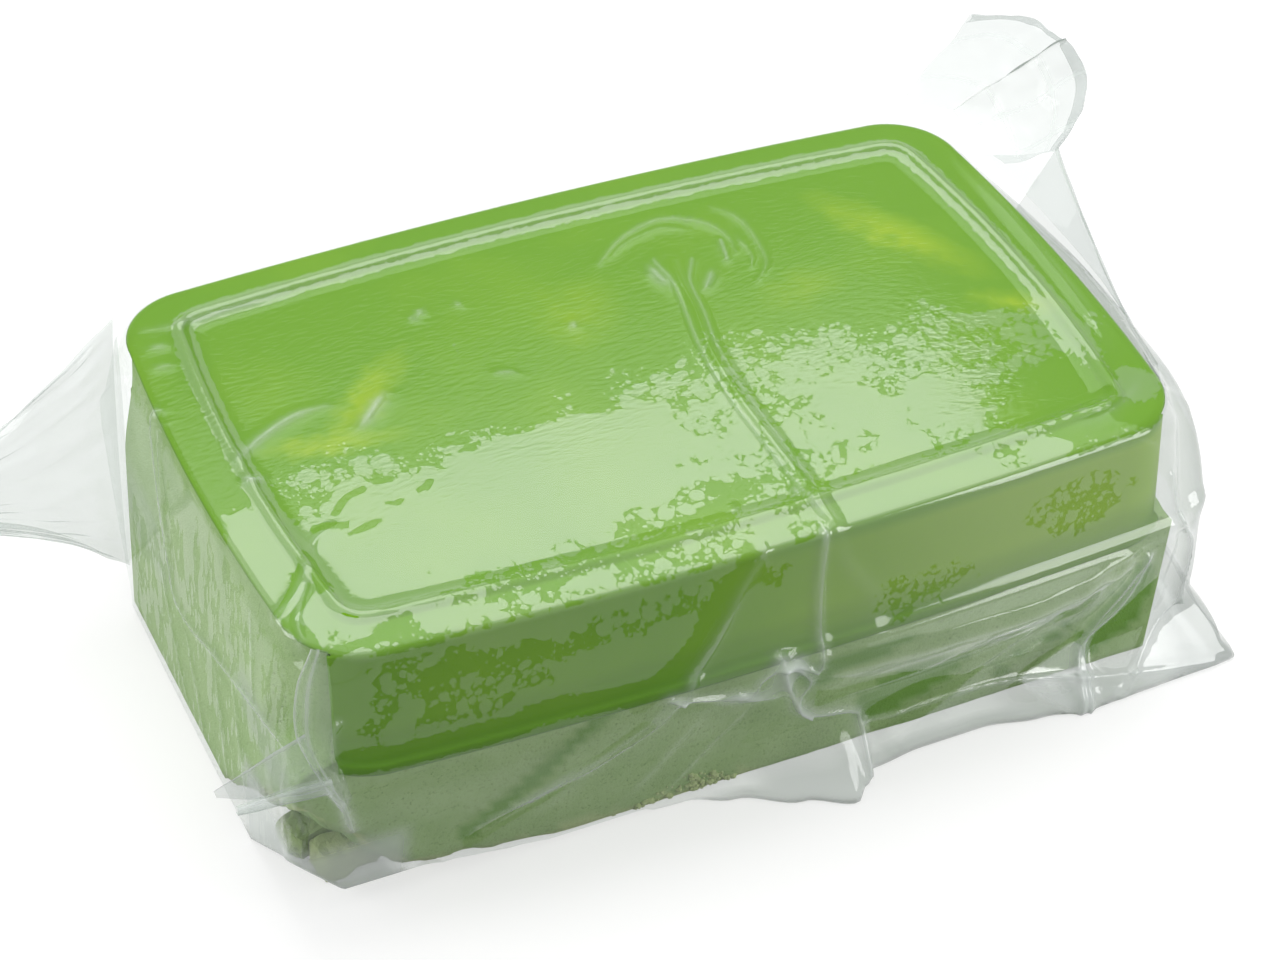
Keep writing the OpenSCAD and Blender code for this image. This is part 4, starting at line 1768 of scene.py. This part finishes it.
# Sharp-edged areas below the rim where the film stands off or lies wet; shine
# adds a painted reflection to some
FACETS = (
    Facet(Side.FRONT, ((12, 41.6), (25.3, 42.9), (51.2, 43.6), (75.2, 44.6),
                       (94.7, 46), (101.5, 46.3), (95.1, 43), (81, 38.8), (67.1, 33.9),
                       (57.7, 31.7), (39.4, 33.5), (23.8, 36.3)), haze=0.0, shine=0.6),
    Facet(Side.FRONT, ((16.3, 40), (43.4, 39.6), (63.9, 40.5), (87.6, 43.6),
                       (97, 44.8), (92, 42), (81, 38.8), (67.1, 33.9), (57.7, 31.7),
                       (39.4, 33.5), (23.8, 36.3)), haze=0.06, shine=1.0),
    Facet(Side.FRONT, ((29.8, 15.7), (42.2, 21.8), (58.2, 20.4), (61.7, 17.5),
                       (47.6, 9.4), (32.7, 6.8)), dry=-1, haze=-0.1),
    Facet(Side.FRONT, ((11.6, 35.4), (17.1, 33.3), (22.9, 33.7), (44.4, 32.3),
                       (35.5, 27.7), (23.8, 26.3), (14.5, 25.5)), dry=-1, haze=-0.1),
    Facet(Side.FRONT, ((68.5, 9.5), (75.3, 13.8), (84.8, 17), (90.4, 20.9),
                       (87.5, 15.9), (73.2, 11.5), (76.7, 5.6), (70.2, 6.9)),
          dry=-1, haze=-0.1),
    Facet(Side.FRONT, ((93.5, 3.7), (93.1, 13), (101.3, 23.6), (109.4, 34),
                       (113.1, 28.2), (110.8, 14), (101.9, 6.6), (95, 2.3)),
          dry=-1, haze=-0.12),
    Facet(Side.FRONT, ((71.9, 11.7), (80.4, 13.3), (89.3, 16.3), (90.2, 6.5),
                       (89.7, 0), (79.2, 5.3)), haze=0.25, shine=4),
)


@dataclass
class FilmWeb:
    """A fin or a web of film, drawn through a net of points."""

    name: str
    net: Sequence[Sequence[Point]]
    flat: tuple[float, float]
    held: str = "gathered"
    haze: float = 0.2
    # Whitened lines: 0 is across or 1 is along, where from 0 to 1, how white; the
    # whitening also raises sheen there as a painted highlight
    lines: Sequence[tuple[int, float, float]] = ()
    # How much light the film holds back at its root and at its tip, partly for
    # crumpling and partly as painted shade
    dim: tuple[float, float] = (0.0, 0.0)
    wave: float = 0.3
    wave_size: float = 9
    seed: int = 1
    across: int = 60
    along: int = 60

    def place(self, across: Array, along: Array) -> Array:
        """Places the sheet's points on the smooth net.

        Args:
            across: Share of the way across.
            along: Share of the way along.

        Returns:
            Rows of x, y, z in millimetres.
        """
        rows = np.array([rounded(row, 10) for row in self.net])
        net = rounded(rows.reshape(len(rows), -1), 10).reshape(-1, rows.shape[1], 3)
        at_u, at_v = across * (net.shape[1] - 1), along * (net.shape[0] - 1)
        u = np.clip(np.floor(at_u).astype(int), 0, net.shape[1] - 2)
        v = np.clip(np.floor(at_v).astype(int), 0, net.shape[0] - 2)
        du, dv = (at_u - u)[:, None], (at_v - v)[:, None]
        near = net[v, u] * (1 - du) + net[v, u + 1] * du
        far = net[v + 1, u] * (1 - du) + net[v + 1, u + 1] * du
        self.shares = np.column_stack((across, along))
        return near * (1 - dv) + far * dv

    def build(self, material: Material) -> Object:
        """Draws the sheet, ripples it, whitens its folds and paints a highlight along
        them.

        Args:
            material: The material that it wears.

        Returns:
            The piece.
        """
        bm = film_sheet(self.name, self.across, self.along, self.place)
        area = sum(f.calc_area() for f in bm.faces)
        log.info("%s: %.5f square metres", self.name, area)
        piece = finish_piece(bm, self.name, material)
        mesh = piece.data
        points = coordinates(mesh)
        wave = self.wave * value_noise(points, self.wave_size, self.seed)
        wave += 0.4 * self.wave * value_noise(points, self.wave_size / 2.4, self.seed + 1)
        move_vertices(mesh, points + vertex_normals(mesh) * wave[:, None])
        haze = np.full(len(points), self.haze)
        for axis, where, white in self.lines:
            gap = np.abs(self.shares[:, axis] - where) * (self.across, self.along)[axis]
            haze += white * np.exp(-gap ** 2 / 1.5)
        paint(mesh, "haze", np.clip(haze, 0, 0.9))
        # Painted highlight: sheen rises along the whitened lines
        paint(mesh, "sheen", 1 + 7 * np.clip(haze - self.haze, 0, 0.6))
        paint_even(mesh, dry=0.0, faces=0.0, peel=0.0)
        root, tip = self.dim
        paint(mesh, "dim", root + (tip - root) * self.shares[:, 0])
        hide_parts("film_wrap")
        return piece


@dataclass(frozen=True)
class FlapLoop:
    """One cross-section of a gathered flap: a flattened loop of film."""

    middle: Point
    half: Point
    thick: float


@dataclass
class FilmFlap:
    """Film gathered past a corner of the block, with pleats that fan out."""

    name: str
    loops: Sequence[FlapLoop]
    flat: tuple[float, float]
    pleat: float = 1.5
    pleats: float = 5.0
    seed: int = 1
    across: int = 120
    along: int = 60
    haze: float = 0.13
    # Darkens what passes through, partly for crumpling and partly as painted shade
    dim: float = 0.09

    def place(self, across: Array, along: Array) -> Array:
        """Places the flap's points, from its root out to its free end.

        Args:
            across: Share of the way across.
            along: Share of the way along.

        Returns:
            Rows of x, y, z in millimetres.
        """
        rows = rounded([loop.middle + loop.half + (loop.thick,)
                        for loop in self.loops], 12)
        at = along * (len(rows) - 1)
        low = np.clip(np.floor(at).astype(int), 0, len(rows) - 2)
        row = rows[low] + (rows[low + 1] - rows[low]) * (at - low)[:, None]
        middle, half, thick = row[:, :3], row[:, 3:6], row[:, 6]
        way = rows[-1, :3] - rows[0, :3]
        side = np.cross(half, way)
        side /= np.linalg.norm(side, axis=1)[:, None]
        turn = across * 2 * math.pi
        fan = np.column_stack((np.cos(turn) * self.pleats, np.sin(turn) * self.pleats,
                               along * 1.6))
        wave = 1 - np.abs(value_noise(fan, 1.0, self.seed)) * 2
        wave += 0.5 * (1 - np.abs(value_noise(fan * 2.1, 1.0, self.seed + 9)) * 2)
        bulge = np.sin(turn) * thick + self.pleat * wave * smooth(along * 6)
        return middle + np.cos(turn)[:, None] * half + bulge[:, None] * side

    def build(self, material: Material) -> Object:
        """Lofts the loops into a flap of film.

        Args:
            material: The material that it wears.

        Returns:
            The piece.
        """
        bm = film_sheet(self.name, self.across, self.along, self.place)
        bmesh.ops.remove_doubles(bm, verts=bm.verts, dist=0.02 * MM)
        bmesh.ops.recalc_face_normals(bm, faces=bm.faces)
        piece = finish_piece(bm, self.name, material)
        paint_even(piece.data, dry=0.0, faces=0.0, sheen=1.0, peel=0.0, dim=self.dim,
                   haze=self.haze)
        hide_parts("film_wrap")
        return piece


LEFT_FLAP = FilmFlap("film_left_flap", (
    FlapLoop((-114, 60, 50), (0.5, 2, 38), 4),
    FlapLoop((-131, 62, 46), (-3, 0, 24), 5),
    FlapLoop((-147, 63, 45), (0, 0, 14), 3.5),
    FlapLoop((-163, 63, 45), (0, 0, 8), 1.2)), (0.10, 0.055), seed=5)
RIGHT_EAR = FilmWeb("film_right_ear", (
    ((110, 81, 80), (116, 84, 84), (123, 87, 88), (131, 89, 93), (134, 90, 95),
     (133, 91, 93)),
    ((113, 75, 82.5), (120, 76, 87.5), (129, 77.5, 94), (138, 77, 100.5),
     (141, 77, 102), (140.5, 79, 99.5)),
    ((116, 67.5, 84.8), (123, 65.8, 91), (131.5, 63.4, 97.5), (139.5, 61.5, 104),
     (143, 61, 105.5), (143.5, 63.5, 102.5)),
    ((116.6, 66, 85), (123.8, 64.2, 91), (132, 61.8, 97.2), (140, 60, 103.6),
     (144, 59.2, 105), (144, 62, 101)),
    ((117, 62, 83.6), (125, 59.6, 87.8), (133, 56, 93.5), (140.5, 54.4, 100),
     (145.8, 53.6, 101.6), (145, 57, 97.5)),
    ((117.4, 56, 82.8), (125, 53.4, 85), (132.5, 50, 89.5), (139, 48.6, 95.5),
     (144, 47.6, 98), (143.4, 51.5, 94.5)),
    ((118, 50, 82.6), (124, 46.8, 83.3), (129, 44, 86.5), (134, 42, 91), (137, 41, 92.6),
     (136.6, 44.5, 90)),
    ((119.5, 44, 82.6), (123, 41.7, 84.3), (126, 39.5, 86.5), (128.6, 38, 88.3),
     (130, 37.4, 88.6), (129.8, 40, 87))),
    (0.045, 0.042), haze=0.22, dim=(0.4, 0.95),
    lines=((1, 0.39, 0.6), (0, 0.8, 0.25), (0, 0.22, 0.15), (1, 0.62, 0.15),
           (0, 0.5, 0.2), (1, 0.85, 0.25)),
    wave=1.0, wave_size=9, seed=8, across=90, along=90)
RIGHT_RIDGE = FilmWeb("film_right_ridge", (
    ((116.5, 50, 82.4), (117.8, 38, 82.3), (118.5, 20, 82), (118.8, 2, 81.3),
     (118.2, -16, 80), (116.8, -34, 78)),
    ((123.5, 42, 86), (123.3, 34, 85.2), (122.8, 18, 82.3), (122.3, 0, 77.5),
     (121.4, -17, 74.5), (119.8, -33, 71.5)),
    ((129.5, 38, 88.6), (128.2, 32, 87), (126.4, 17, 81.6), (125.3, -1.3, 73.8),
     (124, -17, 69.6), (122, -33, 66.5)),
    ((129.6, 38, 88.2), (128.3, 32, 86.6), (126.5, 17, 81.2), (125.4, -1.3, 73.4),
     (124.1, -17, 69.2), (122.1, -33, 66.1)),
    ((122, 42, 66), (123, 33, 64), (124, 17, 60), (124.2, 0, 56), (123.6, -17, 55),
     (121.6, -34, 54))),
    (0.092, 0.026), held="stretched", haze=0.12, dim=(0.5, 0.5),
    lines=((1, 0.56, 0.6), (1, 0.68, 0.15)),
    wave=0.5, wave_size=14, seed=21, across=90, along=50)
CORNER_FOLD = FilmWeb("film_corner_fold", (
    ((-103.5, -53.2, 80), (-104.5, -54.8, 71), (-105.5, -56, 60), (-104.5, -57, 50),
     (-101.5, -57.2, 38)),
    ((-107, -52.5, 82.2), (-110.5, -56, 74), (-111.5, -58, 63), (-108.8, -59, 51.5),
     (-103.5, -58.8, 37.5)),
    ((-109, -51.5, 82.3), (-114.2, -56, 76), (-115.5, -58.5, 66), (-111.5, -60, 53),
     (-105, -59.5, 37))),
    (0.047, 0.01), haze=0.1, lines=((1, 1.0, 0.5), (1, 0.6, 0.35)), wave=0.35,
    wave_size=7, seed=3, across=90, along=16)
NEAR_FIN = FilmWeb("film_near_fin", (
    ((-112.8, -57.5, 63.5), (-111.5, -59.5, 57), (-110, -60.5, 51),
     (-108.3, -58.5, 45.7)),
    ((-121, -57.5, 60.2), (-119.5, -59, 55.5), (-118, -60, 50.5), (-116.5, -58.5, 46)),
    ((-133.6, -57, 53.4), (-133.4, -57.3, 52.6), (-133.2, -57.3, 51.8),
     (-133, -57, 51))), (0.024, 0.013), haze=0.3,
    lines=((0, 0.0, 0.6), (0, 1.0, 0.35)), wave=0.3, wave_size=6, seed=12, across=36,
    along=48)
FIN_ROLL = FilmWeb("film_fin_roll", (
    ((-107.5, -57, 47.5), (-107.5, -59.5, 49), (-107.5, -61.3, 47), (-107.5, -60, 44.6),
     (-107.5, -57.6, 44.4)),
    ((-118, -57, 47.6), (-118, -59, 48.8), (-118, -60.6, 47), (-118, -59.4, 45.2),
     (-118, -57.4, 45)),
    ((-129, -57.6, 47.4), (-129, -59, 48.2), (-129.4, -60, 47.2), (-129, -59.2, 46),
     (-129, -57.8, 45.8))), (0.022, 0.011), haze=0.3,
    lines=((0, 0.3, 0.4), (0, 0.75, 0.3), (1, 1.0, 0.4)), wave=0.15, wave_size=5,
    seed=15, across=30, along=30)
FLAPS = (LEFT_FLAP, RIGHT_EAR, RIGHT_RIDGE, CORNER_FOLD, NEAR_FIN, FIN_ROLL)


# ---------------------------------------------------------------- stage


@dataclass
class Studio:
    """The camera, the lamps, the floor and the white surroundings."""

    azimuth: float = -28.97
    elevation: float = 42.03
    roll: float = 4.75
    distance: float = 793.1
    shift_x: float = 0.6
    shift_y: float = 2.7
    focal_px: float = 3231
    aim_z: float = 40
    sensor: float = 36
    # The overhead panels: left, right, front and back edge, and brightness
    panels: Sequence[tuple[float, float, float, float, float]] = (
        (-0.25, 0.79, -0.1, 1.03, 2.5), (-0.25, 0.79, -0.1, 1.12, 1.35),
        (-1.2, 0.79, -0.6, 1.07, 0.9))
    panel_z: float = 1.08
    # How bright the room is as a light, where what is seen of it is 1
    room_light: float = 0.24

    def view_axes(self) -> tuple[Vector, Vector, Vector]:
        """Returns the camera's right, up and backward directions."""
        az, el = math.radians(self.azimuth), math.radians(self.elevation)
        back = Vector((math.sin(az) * math.cos(el), -math.cos(az) * math.cos(el),
                       math.sin(el)))
        right = (-back).cross(Vector((0, 0, 1))).normalized()
        up = right.cross(-back)
        c, s = math.cos(math.radians(self.roll)), math.sin(math.radians(self.roll))
        return right * c + up * s, up * c - right * s, back

    def camera(self, tray_y: float) -> None:
        """Places the camera at the viewing angle.

        Args:
            tray_y: How far the tray sits back, in millimetres, which it aims at.
        """
        right, up, back = self.view_axes()
        place = (back * self.distance + right * self.shift_x + up * self.shift_y
                 + Vector((0, tray_y, self.aim_z)))
        data = bpy.data.cameras.new("camera")
        data.sensor_width = self.sensor
        data.lens = self.focal_px * self.sensor / IMAGE_WIDTH
        data.clip_end = 20
        cam = bpy.data.objects.new("camera", data)
        turn = Matrix((right, up, back)).transposed().to_4x4()
        cam.matrix_world = Matrix.Translation(place * MM) @ turn
        bpy.context.scene.collection.objects.link(cam)
        bpy.context.scene.camera = cam

    def lamp(self, name: str, place: Vector, aim: Vector, size: tuple[float, float],
             radiance: float) -> None:
        """Adds a flat rectangular lamp.

        Args:
            name: The lamp's name.
            place: Its middle, in metres.
            aim: The point that it faces.
            size: Its width and height, in metres.
            radiance: How bright its face is, where 1 is white.
        """
        data = bpy.data.lights.new(name, "AREA")
        data.shape = "RECTANGLE"
        data.size, data.size_y = size
        data.energy = radiance * math.pi * size[0] * size[1]
        lamp = bpy.data.objects.new(name, data)
        way = (place - aim).to_track_quat("Z", "Y")
        lamp.matrix_world = Matrix.Translation(place) @ way.to_matrix().to_4x4()
        bpy.context.scene.collection.objects.link(lamp)

    def light(self) -> None:
        """Adds the overhead softbox, the side fill and the world."""
        top = Vector((0, 0, 0.08))
        for number, (left, right, front, back, radiance) in enumerate(self.panels):
            middle = Vector(((left + right) / 2, (front + back) / 2, self.panel_z))
            self.lamp(f"overhead_{number}", middle, middle - Vector((0, 0, 1)),
                      (right - left, back - front), radiance)
        self.lamp("left_fill", Vector((-1.1, 0.1, 0.55)), top, (0.8, 0.8), 3.4)
        self.lamp("right_fill", Vector((0.42, -0.40, 0.22)), Vector((0.1, 0, 0.04)),
                  (0.3, 0.3), 4.6)
        world = bpy.data.worlds.new("white_room")
        world.use_nodes = True
        tree = world.node_tree
        tree.nodes.clear()
        strength = add_node(tree, "ShaderNodeMapRange", {
            "Value": seen_ray(tree), "To Min": self.room_light, "To Max": 1.0})
        back = add_node(tree, "ShaderNodeBackground", {
            "Color": (1.0, 1.0, 1.0, 1.0), "Strength": strength.outputs["Result"]})
        out = add_node(tree, "ShaderNodeOutputWorld")
        tree.links.new(back.outputs[0], out.inputs["Surface"])
        bpy.context.scene.world = world

    def floor(self) -> None:
        """Adds the floor, a large round card."""
        bm = bmesh.new()
        bmesh.ops.create_circle(bm, cap_ends=True, segments=96, radius=4.0)
        bmesh.ops.translate(bm, verts=bm.verts, vec=Vector((0, 0, -0.02 * MM)))
        mesh = bpy.data.meshes.new("floor")
        bm.to_mesh(mesh)
        bm.free()
        mesh.materials.append(StageWhite().make())
        card = bpy.data.objects.new("floor", mesh)
        bpy.context.scene.collection.objects.link(card)

    def build(self, tray_y: float) -> None:
        """Sets the stage.

        Args:
            tray_y: How far the tray sits back, in millimetres.
        """
        self.camera(tray_y)
        self.light()
        self.floor()
        bpy.context.scene.view_settings.view_transform = "Standard"


def main() -> None:
    """Builds the stage and every piece from the shared sizes."""
    logging.basicConfig(level=logging.INFO, format="%(name)s %(message)s")
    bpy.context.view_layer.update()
    Studio().build(SIZES.tray_y)
    foam = Foam().make()
    Tray(SIZES).build(TrayPlastic().make())
    FoamBlock(SIZES).build(foam)
    Crumb("crumb_large", (-103.5, -34.5, 5), (13, 10, 9), 0.35, 11, 0.4).build(foam)
    Crumb("crumb_small", (-98, -43.5, 4.2), (15, 8, 8), 0.1, 21, 0.9).build(foam)
    Dust(SIZES).build(foam)
    film = ClearFilm().make()
    FilmSkin(SIZES).build(film)
    for flap in FLAPS:
        flap.build(film)


if __name__ == "__main__":
    main()
